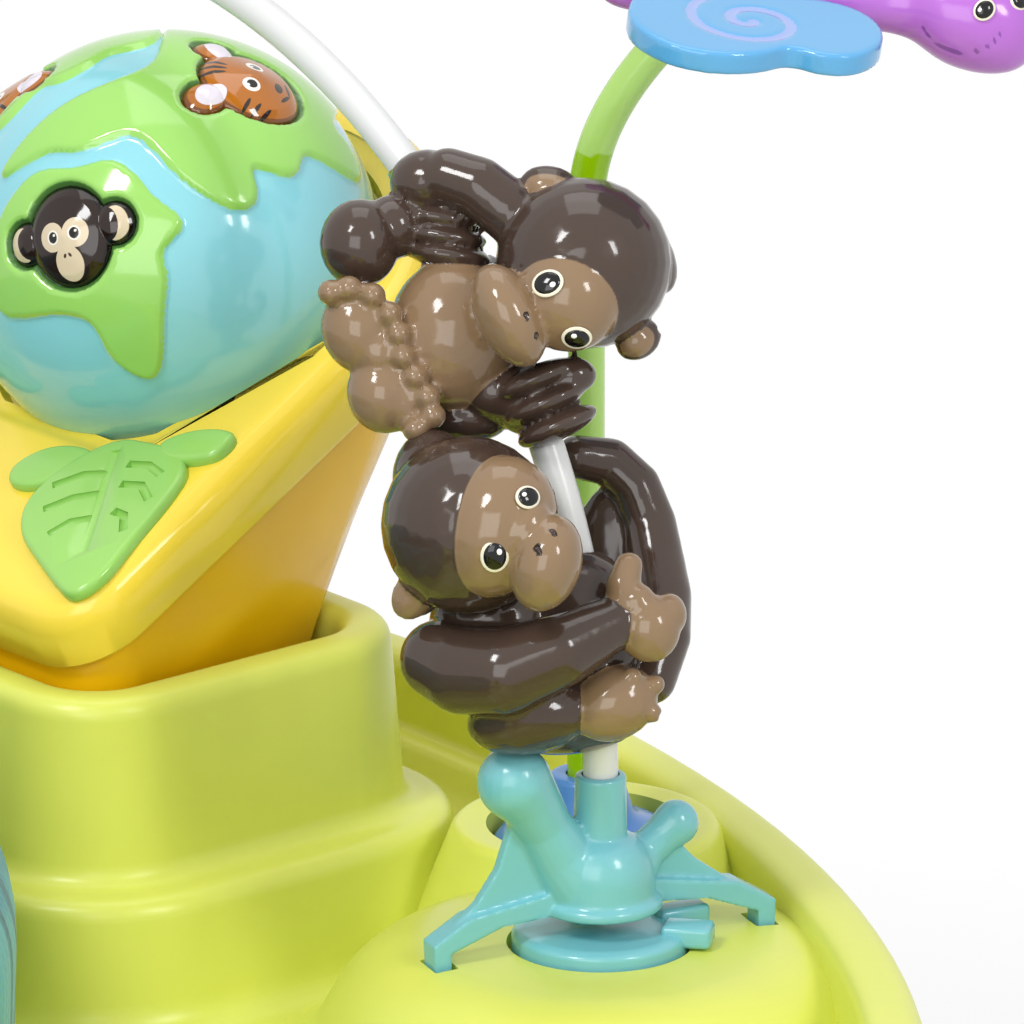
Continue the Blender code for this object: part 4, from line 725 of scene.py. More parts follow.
def face_outline(inset=0.0):
    """Face plate outline: round top about the globe, straight sides and round front corners."""
    arch, half, front, corner = 0.0555 - inset, 0.054 - inset, 0.088 - inset, 0.016 - inset * 0.6
    points = [(arch * math.cos(turn), arch * math.sin(turn)) for turn in np.linspace(0, math.pi, 49)]
    for way, start in ((-1, math.pi), (1, 1.5 * math.pi)):
        for share in np.linspace(0, 1, 13):
            turn = start + 0.5 * math.pi * share
            points.append((way * (half - corner) + corner * math.cos(turn),
                           corner - front + corner * math.sin(turn)))
    return points


def face_ring(inset, height):
    """Ring of the face outline, set in, at a height over the face."""
    return [FACE_FRAME @ Vector((x, y, height)) for x, y in face_outline(inset)]


def globe_ring(radius, height):
    """Ring about the globe with a point in line with each outline point."""
    ring = []
    for x, y in face_outline():
        away = Vector((x, y)).normalized() * radius
        ring.append(FACE_FRAME @ Vector((away.x, away.y, height)))
    return ring


def make_console():
    """Face with its lip and the moat round the globe, and the housing that narrows into the block's pocket."""
    lip = [(0.0006, -0.0150), (0.0, -0.0142), (0.0, -0.0060), (0.0005, -0.0036), (0.0018, -0.0016),
           (0.0036, -0.0004), (0.0056, 0.0), (0.0076, -0.0002)]
    rings = [face_ring(inset, height) for inset, height in lip]
    foot = math.sqrt(GLOBE_RADIUS ** 2 - FACE_DROP ** 2)
    moat = [(0.0085, -0.0002), (0.0074, -0.0004), (0.0060, -0.0012), (0.0046, -0.0020), (0.0030, -0.0025),
            (0.0012, -0.0026), (0.0, -0.0060)]
    rings += [globe_ring(foot + reach, height) for reach, height in moat]
    front = skinned("console_face", rings)
    set_up(front, yellow_abs, "tray_body", ["console_front"], 40)
    parting = face_ring(0.0022, -0.0153)
    centre = Vector((0.0, 0.272))
    half, near, rear, pocket_floor = 0.051, 0.246, 0.300, 0.4353
    loop = []
    for point in parting:
        turn = math.atan2(point.y - centre.y, point.x)
        ray = Vector((math.cos(turn), math.sin(turn)))
        side = half / max(abs(ray.x), 1e-6)
        end = (rear - centre.y if ray.y > 0 else centre.y - near) / max(abs(ray.y), 1e-6)
        soft = 1 / (abs(ray.x) ** 6 + abs(ray.y) ** 6) ** (1 / 6)
        loop.append(centre + ray * min(side, end, soft * 0.045 + 0.006))
    levels = []
    for share, bulge in ((0.0, 0.0), (0.02, 0.0), (0.35, -0.02), (0.7, -0.02), (0.97, 0.0), (1.0, 0.0)):
        ring = []
        for low, high in zip(loop, parting):
            point = Vector((low.x, low.y, pocket_floor)).lerp(high, share)
            ring.append(point + Vector((0, bulge * (high.y - low.y), 0)))
        levels.append(ring)
    back = skinned("console_housing", levels)
    set_up(back, amber_abs, "tray_body", ["console_back"], 40)


make_console()


def make_leaf(name, way, outline, rise, slots, rib):
    """Moulded leaf on one side of the face: soft-edged plate, slots and a pressed midrib, from millimetres."""
    shape = smooth_outline([(way * x * MM, y * MM) for x, y in outline])
    leaf = slab(name, shape, -0.0012, rise, 0.0013, 4)
    for place, points in enumerate(slots):
        path = [(way * x * MM, y * MM, rise - 0.0003) for x, y in points]
        combine(leaf, tube(name + f"_slot_{place}", path, 0.0011, 3), "DIFFERENCE")
    if rib:
        path = [(way * x * MM, y * MM, rise + 0.0009) for x, y in rib]
        combine(leaf, tube(name + "_rib", path, 0.0015, 4), "DIFFERENCE")
    return leaf


def make_leaves():
    """Leaf cluster each side of the face: a broad speaker leaf with curved slots, and two small leaves."""
    broad = [(20, -47), (25, -41), (32, -40), (40, -39), (48, -43), (50, -52), (51, -63), (53, -74), (50, -81),
             (43, -79), (33, -75), (23, -71), (17, -64), (17, -55)]
    rib = [(27, -45), (32, -53), (38, -62), (43, -70)]
    slots = [
        [(30, -51), (25, -53), (20.5, -58)], [(33, -56), (28, -59), (24, -64)],
        [(37, -62), (33, -64.5), (31, -69)], [(33, -47), (38, -45.5), (43, -46.5)],
        [(36, -52), (41, -50.5), (46, -53)], [(40.5, -58.5), (44, -58.5), (47.5, -62)],
    ]
    outer = [(34, -40), (39, -34), (46, -31), (51, -31), (51, -38), (46, -41), (40, -43)]
    inner = [(23, -47), (17, -46), (9, -49), (5, -56), (8, -61), (15, -60), (21, -54)]
    leaves = ((broad, 0.0022, slots, rib), (outer, 0.0024, (), ()), (inner, 0.0020, (), ()))
    for way, word in ((1, "right"), (-1, "left")):
        leaf = moved(joined([make_leaf("leaf_" + word, way, *shape) for shape in leaves]), FACE_FRAME)
        set_up(leaf, leaf_abs, "tray_body", ["leaf_grille_" + word], 50)


make_leaves()


def make_battery_door():
    """Door on the console's rear with softened edges and its screw."""
    low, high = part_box("battery_door")
    door = copied(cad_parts["battery_door"], "battery_cover", Matrix.Identity(4))
    door.parent = None
    heal(door)
    change(door, "BEVEL", width=0.0008, segments=3, limit_method="ANGLE")
    screw = spun("door_screw", rounded([
        (0.0, 0.0012, 0), (0.0026, 0.0012, 0.0005), (0.0030, -0.001, 0), (0.0, -0.001, 0),
    ]), 24)
    spot = Matrix.Translation(((low.x + high.x) / 2, high.y - 0.0022, high.z - 0.005))
    moved(screw, spot @ Matrix.Rotation(math.radians(-110), 4, "X"))
    screw.data.materials.append(steel_wire)
    door = joined([door, screw])
    shade(door, 40)
    door.data.materials[0] = amber_abs
    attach(door, "tray_body")
    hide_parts("battery_door")


# Globe: shores are in millimetres from the globe's centre, as the camera sees them
NORTH = [(-33, 13), (-27, 17), (-22, 19.4), (-17, 18.6), (-11, 21.2), (-6, 22.8), (-2, 19.8), (3, 14),
         (9.4, 9.4), (14.6, 7), (18.2, 8), (18.8, 11.4), (17.2, 15.8), (19.8, 15.6), (25, 13.6), (27, 15.2),
         (27.4, 19.2), (33, 16.6), (38.8, 12.6), (38.8, 15.8), (36.2, 21.2), (32, 25.4), (40, 34), (20, 46),
         (0, 47), (-0.4, 41.4), (-1.8, 36.2), (-10.8, 32.8), (-19.4, 29), (-25.8, 23.8), (-31, 17.5)]
SOUTH = [(-34, 4), (-28.4, 12.6), (-24, 15.6), (-17.4, 15.2), (-10.8, 17.6), (-6.2, 15.2), (-1.8, 9.4),
         (3.6, 6), (4.2, 3.4), (-0.8, -1), (1.2, -5.6), (0.2, -12.2), (0, -22.6), (-1.8, -26.6), (-6.2, -25.2),
         (-10.2, -22), (-12.8, -16.8), (-14.8, -14.2), (-20.6, -12.8), (-28.4, -14.2), (-34, -12.8)]
POLAR = [(-37, 21), (-32, 24.6), (-24.8, 33), (-21.6, 32.6), (-14.8, 36.4), (-11.8, 38.8), (-7.2, 39.6),
         (-1, 41.4), (0, 48), (-20, 46), (-38, 34)]
WEST = [(-14, 20), (-2, 23), (12, 17), (15, 8), (6, 3), (8, -6), (3, -20), (-4, -22), (-9, -10), (-17, 2)]
LAND_RISE = 0.0013
MONKEY_WAY = Vector((15.9, -37.9, 14.0)).normalized()
TIGER_WAY = Vector((19.5, 5.3, 38.4)).normalized()
LION_WAY = Vector((-27.0, -19.0, 28.0)).normalized()


def button_frame(way, up):
    """Frame on the globe: Z out along a way, Y towards the face's top."""
    up = (up - way * up.dot(way)).normalized()
    turn = Matrix((up.cross(way), up, way)).transposed().to_4x4()
    return Matrix.Translation(GLOBE_CENTRE) @ turn


MONKEY_FRAME = button_frame(MONKEY_WAY, VIEW_UP - VIEW_RIGHT * 0.24)
TIGER_FRAME = button_frame(TIGER_WAY, VIEW_RIGHT * -1.0 + VIEW_UP * 0.15)
LION_FRAME = button_frame(LION_WAY, Vector((0.0, 0.4, 1.0)))


def monkey_shape(x, y):
    """Signed distance to a round head with ears at its sides."""
    return np.minimum(oval_distance(x, y, (0, 0), (9.3, 10.4)), pair_distance(x, y, (10.0, 0.6), (4.3, 4.6)))


def tiger_shape(x, y):
    """Signed distance to a round head with ears on top."""
    return np.minimum(oval_distance(x, y, (0, -1.0), (10.2, 11.0)),
                      pair_distance(x, y, (8.6, 7.6), (4.6, 4.2), 40))


def make_globe():
    """Ball cut off under the face, with raised land and a sunken bed round each button, painted dark green as
    shade.
    """
    globe = primitive("globe", bpy.ops.mesh.primitive_ico_sphere_add, subdivisions=7, radius=GLOBE_RADIUS)
    axis = Vector((0.0, -math.sin(FACE_SLOPE), math.cos(FACE_SLOPE)))
    bpy.ops.object.mode_set(mode="EDIT")
    bpy.ops.mesh.select_all(action="SELECT")
    bpy.ops.mesh.bisect(plane_co=axis * -(FACE_DROP + 0.0057), plane_no=axis, clear_inner=True, use_fill=True)
    bpy.ops.object.mode_set(mode="OBJECT")
    points = points_of(globe)
    ways = points / np.linalg.norm(points, axis=1)[:, None]
    land = np.full(len(points), 1e9)
    for shores, facing in (((NORTH, SOUTH, POLAR), VIEW_BACK),
                           ((WEST,), Vector((-0.80, 0.33, 0.50)).normalized())):
        right = Vector((0, 0, 1)).cross(facing).normalized()
        up = facing.cross(right)
        flat = np.stack([points @ np.array(right), points @ np.array(up)], axis=1) * 1000
        shown = points @ np.array(facing) > 0.002
        for shore in shores:
            distance = polygon_distance(flat, smooth_outline(shore, 3))
            land = np.where(shown, np.minimum(land, distance), land)
    edge = np.clip(0.5 - land / 1.1, 0, 1)
    rise = LAND_RISE * edge * edge * (3 - 2 * edge)
    shaded_seam = np.full(len(points), 1e9)
    for place, shape in ((MONKEY_FRAME, monkey_shape), (TIGER_FRAME, tiger_shape), (LION_FRAME, tiger_shape)):
        turn = np.array(place.to_3x3())
        local = points @ turn * 1000
        near = shape(local[:, 0], local[:, 1]) - 0.35
        near = np.where(local[:, 2] > 0, near, 1e9)
        shaded_seam = np.minimum(shaded_seam, near)
    sunk = np.clip(0.5 - (shaded_seam + 0.2) / 1.4, 0, 1)
    rise = rise * (1 - sunk) - 0.0014 * sunk
    base = points @ np.array(axis) < -(FACE_DROP + 0.005)
    put_points(globe, np.where(base[:, None], points, points + ways * rise[:, None]))
    paint(globe, "land", land - 0.25, 0.25)
    # Painted shade: the ring in the gap round each button is painted darker green
    paint(globe, "shaded_seam", shaded_seam - 0.25, 0.35)
    moved(globe, Matrix.Translation(GLOBE_CENTRE))
    set_up(globe, globe_abs, "tray_body", ["globe_dome", "land_north", "land_south", "land_west"],
           70)


def button_dome(name, shape, reach, crown):
    """Domed plate over a face shape: a fine grid, cut to the shape and crowned."""
    cells = 150
    piece = primitive(name, bpy.ops.mesh.primitive_grid_add, x_subdivisions=cells, y_subdivisions=cells,
                      size=2 * reach)
    points = points_of(piece)
    distance = shape(points[:, 0], points[:, 1])
    select_points(piece, distance > 0)
    bpy.ops.mesh.delete(type="VERT")
    bpy.ops.mesh.select_all(action="SELECT")
    bpy.ops.mesh.extrude_region_move(TRANSFORM_OT_translate={"value": (0, 0, -3.0)})
    bpy.ops.object.mode_set(mode="OBJECT")
    heal(piece)
    points = points_of(piece)
    distance = shape(points[:, 0], points[:, 1])
    radius = GLOBE_RADIUS * 1000
    ball = np.sqrt(np.maximum(radius ** 2 - points[:, 0] ** 2 - points[:, 1] ** 2, 0))
    round_edge = np.sqrt(np.clip(-distance / 2.2, 0, 1)) * 1.5 + np.clip(-distance / 9.0, 0, 1) * crown
    top = points[:, 2] > -1.5
    points[:, 2] = np.where(top, ball + round_edge - 0.3, ball - 2.2)
    put_points(piece, points)
    return piece, points[:, 0], points[:, 1]


def make_monkey():
    """Plain ape face: mask round the eyes, bridge and muzzle, a crescent in each ear, and painted shade along
    its edge.
    """
    piece, x, y = button_dome("monkey_face", monkey_shape, 15.0, 1.6)
    eyes = pair_distance(x, y, (2.6, 0.2), (2.75, 3.0))
    muzzle = oval_distance(x, y, (0, -5.6), (3.0, 3.6))
    bridge = oval_distance(x, y, (0, -2.2), (2.0, 2.6))
    ears = np.maximum(pair_distance(x, y, (10.6, 0.4), (2.6, 3.6)),
                      -pair_distance(x, y, (8.9, 0.6), (2.5, 3.4)))
    paint(piece, "mask", np.minimum.reduce([eyes, muzzle, bridge, ears]), 0.12)
    # Painted shade: a darker band along the rounded edge of the face
    paint(piece, "rim", -monkey_shape(x, y) - 0.9, 0.2)
    paint(piece, "white", pair_distance(x, y, (2.4, 0.1), (1.35, 1.5)), 0.12)
    glint = pair_distance(x, y, (2.4, 0.5), (0.3, 0.3), shift=0.35)
    paint(piece, "pupil", np.maximum(pair_distance(x, y, (2.4, 0.1), (1.0, 1.15)), -glint), 0.1)
    paint(piece, "nose", pair_distance(x, y, (0.55, -4.0), (0.3, 0.5), 30), 0.1)
    moved(piece, MONKEY_FRAME @ TO_METRES)
    set_up(piece, monkey_abs, "monkey", ["monkey_button"], 60)


def make_tiger(name, place, body, node):
    """Plain big-cat face: pale ears, stripes on brow and cheeks, nose and mouth, and painted shade along its
    edge.
    """
    piece, x, y = button_dome(name, tiger_shape, 15.0, 1.8)
    paint(piece, "ear", pair_distance(x, y, (8.4, 6.9), (3.5, 2.7), 40), 0.15)
    # Painted shade: a darker band along the rounded edge of the face
    paint(piece, "rim", -tiger_shape(x, y) - 0.7, 0.2)
    brow, mid_brow = pair_distance(x, y, (1.9, 7.6), (0.5, 2.6), -14), oval_distance(x, y, (0, 7.6), (0.5, 2.6))
    nose, mouth = oval_distance(x, y, (0, -6.2), (1.5, 1.0)), pair_distance(x, y, (1.7, -8.2), (1.9, 0.4), 24)
    cheeks = [pair_distance(x, y, (8.4, -0.6 - 2.2 * step), (1.7, 0.42), 12 + 8 * step) for step in range(3)]
    paint(piece, "stripe", np.minimum.reduce([brow, mid_brow, nose, mouth, *cheeks]), 0.12)
    paint(piece, "white", pair_distance(x, y, (3.3, -0.4), (1.7, 1.9)), 0.12)
    glint = pair_distance(x, y, (3.3, 0.2), (0.35, 0.35), shift=-0.4)
    paint(piece, "pupil", np.maximum(pair_distance(x, y, (3.1, -0.5), (1.0, 1.15)), -glint), 0.1)
    moved(piece, place @ TO_METRES)
    set_up(piece, tiger_abs, body, [node], 60)


make_globe()
make_monkey()
make_tiger("tiger_face", TIGER_FRAME, "tiger", "tiger_button")
make_tiger("cub_face", LION_FRAME, "lion", "lion_button")


# Toy arch
ARCH_RISE = 0.138
TUBE_RADIUS = 0.0035


def arch_points(count):
    """Path of the bar: half an oval over the console, with a straight foot at each end."""
    foot = Vector((POST.x, POST.y, POST.z - 0.0215))
    path = [foot]
    for step in range(count + 1):
        turn = math.pi * step / count
        path.append(Vector((POST.x * math.cos(turn), POST.y, POST.z + ARCH_RISE * math.sin(turn))))
    return path + [mirrored(foot)]


set_up(tube("arch_bar", arch_points(120), TUBE_RADIUS), white_tube, "tray_body", ["arch_tube"])


# Finishes of a figure's parts, whose balls are each (finish, centre, radii, turn in degrees)
FUR, TAN = "fur", "tan"


def make_ball(name):
    """Unit ball that the figures are grown from."""
    return primitive(name, bpy.ops.mesh.primitive_uv_sphere_add, segments=24, ring_count=16, radius=1.0)


def limb(finish, points, per_part=10):
    """Balls along a bent, tapering limb; a point is X, Y, Z and radius."""
    out = []
    for start, end in zip(points, points[1:]):
        for step in range(per_part + 1):
            share = step / per_part
            x, y, z, r = (low + (high - low) * share for low, high in zip(start, end))
            out.append((finish, (x, y, z), (r, r, r), 0))
    return out


def ball_matrix(centre, radii, turn):
    """Matrix that takes the unit ball to a place, its radii and its turn."""
    return Matrix.Translation(centre) @ Matrix.Rotation(math.radians(turn), 4,
                                                        "Z") @ Matrix.Diagonal((*radii, 1.0))


def ball_copies(name, balls):
    """One ball mesh for each row of a figure's table."""
    seed = make_ball(name)
    copies = [copied(seed, name + "_part", ball_matrix(*row[1:])) for row in balls]
    bpy.data.objects.remove(seed, do_unlink=True)
    return copies


def grown(name, balls, voxel, place, smooth=4):
    """Melt balls into one skin, in millimetres, and return it with its tan areas painted."""
    figure = joined(ball_copies(name, balls))
    figure.name = name
    melted(figure, voxel, smooth)
    points = points_of(figure)
    near = {FUR: np.full(len(points), 1e9), TAN: np.full(len(points), 1e9)}
    for finish, centre, radii, turn in balls:
        back = np.array(ball_matrix(centre, radii, turn).inverted())
        local = points @ back[:3, :3].T + back[:3, 3]
        near[finish] = np.minimum(near[finish], (np.linalg.norm(local, axis=1) - 1) * min(radii))
    paint(figure, "tan", near[TAN] - near[FUR], 0.35)
    return moved(figure, place @ TO_METRES)


FIGURE_FRAME = view_frame(POST)


def make_eye(name, figure_body, centre, way, size, turn):
    """Glossy painted eye: cream rim, black oval and a glint."""
    way = Vector(way).normalized()
    aim = Matrix.Translation(centre) @ way.to_track_quat("Z", "Y").to_matrix().to_4x4()
    aim = FIGURE_FRAME @ TO_METRES @ aim @ Matrix.Rotation(math.radians(turn), 4, "Z")
    for part, material, radii, shift in (
        ("rim", eye_rim_paint, (size * 1.22, size * 1.42, 0.55), (0, 0, 0)),
        ("black", eye_paint, (size, size * 1.2, 0.85), (0, 0, 0.12)),
        ("glint", catch_paint, (size * 0.26, size * 0.30, 0.28), (size * 0.32, size * 0.42, 0.72)),
    ):
        piece = make_ball(f"{name}_{part}")
        moved(piece, aim @ Matrix.Translation(shift) @ Matrix.Diagonal((*radii, 1.0)))
        set_up(piece, material, figure_body, (), 80)


def bored(figure, nodes, body, nostrils):
    """Sink the nostrils, clear the arch bar out of a figure and set it up."""
    for points in nostrils:
        combine(figure, grown("nostril", limb(FUR, points, 2), 0.25, FIGURE_FRAME, 1), "DIFFERENCE")
    combine(figure, tube("bar_clear", arch_points(80), TUBE_RADIUS + 0.0012, 6), "DIFFERENCE")
    set_up(figure, fur_abs, body, nodes, 50)


def make_lower_gorilla():
    """Climber on the straight part of the bar: head, face, muzzle, ear, body, back, fist, feet, then arms."""
    balls = [
        (FUR, (-26.0, 49.0, 24.0), (17.2, 17.6, 17.0), 0),
        (FUR, (-33.0, 58.0, 17.0), (8.0, 10.0, 9.0), 0),
        (TAN, (-20.2, 48.8, 32.8), (11.6, 14.2, 11.0), -20),
        (TAN, (-15.2, 48.0, 38.0), (4.6, 7.0, 6.0), -30),
        (TAN, (-10.8, 41.6, 38.4), (7.0, 9.8, 8.6), -16),
        (TAN, (-36.6, 35.4, 21.6), (4.2, 5.4, 2.8), -35),
        (FUR, (-35.4, 36.4, 19.4), (4.8, 5.8, 2.8), -35),
        (FUR, (-21.0, 29.0, 11.0), (13.0, 12.0, 12.0), 0),
        (FUR, (-5.0, 27.0, 8.0), (14.0, 18.0, 13.0), 0),
        (FUR, (2.6, 41.0, -10.0), (10.0, 18.0, 5.0), -12),
        (TAN, (9.4, 28.8, 22.0), (6.2, 6.8, 5.4), 0),
        (TAN, (13.2, 31.4, 20.6), (3.6, 4.4, 4.4), 0),
        (TAN, (7.0, 33.6, 22.6), (3.8, 4.2, 4.0), 0),
        (FUR, (-13.6, 11.6, 15.0), (13.0, 7.6, 11.0), 12),
        (TAN, (2.6, 14.0, 17.4), (9.0, 7.2, 7.2), 26),
        (FUR, (-6.0, 9.4, 5.0), (14.0, 5.6, 11.0), 6),
        (TAN, (6.0, 19.0, 21.2), (2.2, 2.2, 2.2), 0),
        (TAN, (10.6, 17.8, 19.4), (2.0, 2.0, 2.0), 0),
        (TAN, (7.0, 13.2, 21.4), (2.0, 2.0, 2.0), 0),
        (TAN, (10.0, 12.2, 19.6), (2.0, 2.0, 2.0), 0),
    ]
    balls += limb(FUR, [(-31.6, 22.6, 17, 8.0), (-27.0, 20.6, 21, 8.9), (-18.9, 20.2, 25, 8.8),
                        (-8.4, 24.4, 26, 7.4), (2.1, 29.6, 22.5, 5.4)])
    balls += limb(TAN, [(4.6, 33, 22.6, 3.6), (4.2, 37, 22, 3.4), (5.4, 41, 20.5, 2.8)])
    balls += limb(FUR, [(-4.6, 62.4, -6, 4.4), (2.0, 61.4, -8, 4.8), (7.0, 56.6, -8, 5.0), (9.8, 49.4, -7, 5.2),
                        (11.2, 42.0, -4, 5.4), (12.4, 35.0, 0, 5.6), (12.2, 27.0, 5, 5.6), (9.6, 19.0, 8, 5.4)])
    figure = grown("climber_low", balls, 0.8, FIGURE_FRAME)
    bored(figure, ["gorilla_lower"], "gorilla_low", [
        [(-12.6, 44.6, 46.0, 0.7), (-12.0, 43.6, 46.2, 0.6)],
        [(-9.6, 48.0, 45.0, 0.6), (-9.2, 47.2, 45.2, 0.5)],
    ])
    make_eye("low_eye_a", "gorilla_low", (-14.4, 54.4, 41.9), (0.42, 0.32, 0.85), 1.95, -14)
    make_eye("low_eye_b", "gorilla_low", (-20.8, 43.0, 42.4), (0.05, -0.25, 0.96), 2.35, -14)


def make_upper_gorilla():
    """Climber on the bend: belly, back, head, face, ears, arms, legs and soles, then hair folds and toes."""
    balls = [
        (TAN, (-29.0, 86.5, 8.0), (13.0, 15.0, 12.0), 0),
        (FUR, (-26.0, 88.0, 0.0), (15.0, 15.0, 10.0), 0),
        (FUR, (-3.4, 100.4, 11.5), (17.4, 17.0, 16.6), 0),
        (FUR, (10.4, 101.4, 7.0), (4.2, 7.4, 6.0), 20),
        (TAN, (-6.4, 93.6, 20.6), (10.6, 10.8, 9.8), 0),
        (TAN, (-18.2, 90.0, 24.0), (6.4, 11.0, 8.4), 26),
        (FUR, (-10.0, 115.6, 12.0), (6.0, 4.0, 3.2), -10),
        (TAN, (-10.0, 115.2, 13.6), (4.9, 2.8, 2.8), -10),
        (FUR, (7.4, 85.4, 10.0), (4.8, 3.8, 3.0), 35),
        (TAN, (7.2, 85.0, 11.6), (3.6, 2.8, 2.6), 35),
        (FUR, (-47.4, 104.4, 8.0), (8.0, 8.8, 8.4), 0),
        (FUR, (-41.0, 107.6, 6.0), (6.2, 6.4, 6.6), 0),
        (FUR, (-34.0, 116.6, 5.0), (7.6, 6.4, 7.0), 0),
        (FUR, (-13.0, 73.6, 8.0), (9.0, 7.4, 8.0), 0),
        (FUR, (-5.4, 78.4, 12.0), (4.6, 3.6, 4.6), 0),
        (FUR, (-20.0, 75.0, 7.0), (8.0, 6.0, 8.0), 0),
        (FUR, (-27.0, 69.6, 4.0), (9.0, 4.6, 7.0), 0),
        (TAN, (-47.4, 87.4, 13.0), (7.6, 8.8, 7.0), 15),
        (TAN, (-42.6, 74.8, 13.0), (7.4, 8.0, 7.0), 15),
        (TAN, (-43.4, 83.0, 14.0), (5.4, 6.0, 5.6), 0),
        (TAN, (-38.4, 73.4, 14.0), (4.6, 6.2, 5.4), 0),
    ]
    balls += limb(FUR, [(-30.0, 117.4, 8, 5.8), (-24.0, 115.4, 10, 6.0), (-18.4, 111.0, 11, 6.2),
                        (-14.0, 106.0, 11, 5.4)])
    for step in range(5):
        share = step / 4
        centre = (-33.6 + 3.6 * share, 117.0 - 15.0 * share, 1.0 + 1.2 * step)
        balls.append((FUR, centre, (8.6, 2.7, 8.2), -8))
    for step in range(3):
        centre = (-13.0 + 2.2 * step, 77.6 - 4.6 * step, 12.0)
        balls.append((FUR, centre, (8.6, 2.8, 7.2), 24))
    for x, y in ((-53.0, 94.6), (-49.4, 95.4), (-44.8, 94.0), (-41.4, 90.4), (-39.6, 86.4), (-38.8, 82.0),
                 (-36.4, 78.0), (-34.0, 74.0), (-33.0, 70.4), (-36.4, 67.8)):
        balls.append((TAN, (x, y, 17.6), (2.7, 2.6, 3.4), 0))
    figure = grown("climber_high", balls, 0.8, FIGURE_FRAME)
    bored(figure, ["gorilla_upper"], "gorilla_up", [
        [(x, y, z, 0.7), (x + 0.5, y - 0.6, z + 0.2, 0.6)]
        for x, y, z in ((-12.6, 86.0, 29.6), (-14.6, 90.0, 31.2))
    ])
    make_eye("high_eye_a", "gorilla_up", (-10.5, 96.2, 29.6), (-0.25, 0.25, 0.93), 2.3, 60)
    make_eye("high_eye_b", "gorilla_up", (-4.8, 85.6, 27.2), (0.12, -0.62, 0.78), 2.2, 60)


make_lower_gorilla()
make_upper_gorilla()


# Splash bases and quarter-turn locks

def make_splash(word, place, turn):
    """Clip base like a splash, in millimetres: drum, socket, curls, webs, and arms with a tab foot."""
    drum = spun("splash_base_" + word, rounded([
        (0.0, 7.5, 0), (12.4, 7.5, 0.8), (12.4, 9.4, 0.8), (11.0, 10.2, 0.6), (10.6, 17, 3), (7.6, 22, 4),
        (0.0, 23, 0),
    ]), 48)
    parts = [drum]
    parts.append(spun("socket", rounded([(0.0, 12, 0), (5.4, 12, 0), (5.1, 35, 0.8), (0.0, 35, 0)]), 40))
    for way in (1, -1):
        arm = [(0, 12), (0, 8.4), (22, 6.8), (33.0, 2.6), (33.0, -5.4), (36.4, -5.4), (36.8, 4.6), (29, 9.4),
               (12, 12.2)]
        bar = slab("arm", [(way * x, z) for x, z in arm], -3.0, 3.0)
        parts.append(moved(bar, Matrix.Rotation(math.pi / 2, 4, "X")))
    web = [(-5, 11), (-34, 6), (-27, 11.5), (-22.5, 18), (-19.5, 27), (-18, 32), (-11, 24)]
    fin = [(4, 11), (33, 6.5), (26, 10.6), (20, 15.0), (15, 20.5), (9, 17)]
    for outline in (web, fin):
        parts.append(moved(slab("web", outline, -1.3, 1.3), Matrix.Rotation(math.pi / 2, 4, "X")))
    balls = limb(FUR, [(-3, 0, 13, 8.8), (-8.0, 0, 18.5, 6.6), (-12.4, -0.5, 26, 5.6), (-16.2, -1, 32.5, 6.4),
                       (-18.8, -1, 36.0, 7.5)])
    balls += limb(FUR, [(3, 0, 13, 7.6), (9.6, 0, 17.6, 4.0), (13.4, 0, 20.6, 3.9), (16.2, 0, 22.6, 4.6)])
    parts += ball_copies("curl", balls)
    base = melted(joined(parts), 0.55, 3)
    combine(base, spun("socket_bore", [(0.0, 13), (3.8, 13), (3.8, 40), (0.0, 40)], 40), "DIFFERENCE")
    moved(base, standing(place, PLATFORM_Z, turn) @ TO_METRES)
    set_up(base, teal_abs, "tray_body", ["splash_base_" + word], 50)


def make_lock(word, place, turn):
    """Quarter-turn lock: flat disc with two thumb lugs, in millimetres."""
    disc = spun("lock_disc_" + word, rounded([
        (0.0, -2.8, 0), (17.6, -2.8, 0), (17.6, 2.4, 1.0), (15.6, 3.2, 0.8), (0.0, 3.2, 0),
    ]), 72)
    for angle, high, wide in ((0, 22.5, 3.6), (38, 23.4, 2.9)):
        lug = box("lug", (12.5, -wide, 0.5), (high, wide, 4.8), 1.0)
        combine(disc, moved(lug, Matrix.Rotation(math.radians(angle), 4, "Z")), "UNION")
    moved(disc, standing(place, PLATFORM_Z, turn) @ TO_METRES)
    set_up(disc, teal_abs, "lock_" + word, ["turn_lock_" + word], 30)


make_splash("right", POST, SPLASH_TURN)
make_splash("left", mirrored(POST), math.pi - SPLASH_TURN)
make_lock("right", POST, LOCK_TURN)
make_lock("left", mirrored(POST), math.pi - LOCK_TURN)
make_battery_door()


# Butterfly on its bent post
POST_RISE = 0.166
POST_LEAN = 0.018
POST_RADIUS = 0.0037
BUTTERFLY_FRAME = Matrix.Translation(BOSS) @ Matrix.Rotation(VIEW_TURN, 4, "Z")
BUTTERFLY_LEVEL = BUTTERFLY_FRAME @ Matrix.Translation((POST_LEAN, 0.0, POST_RISE))
STRAIGHT_SHARE = 0.78


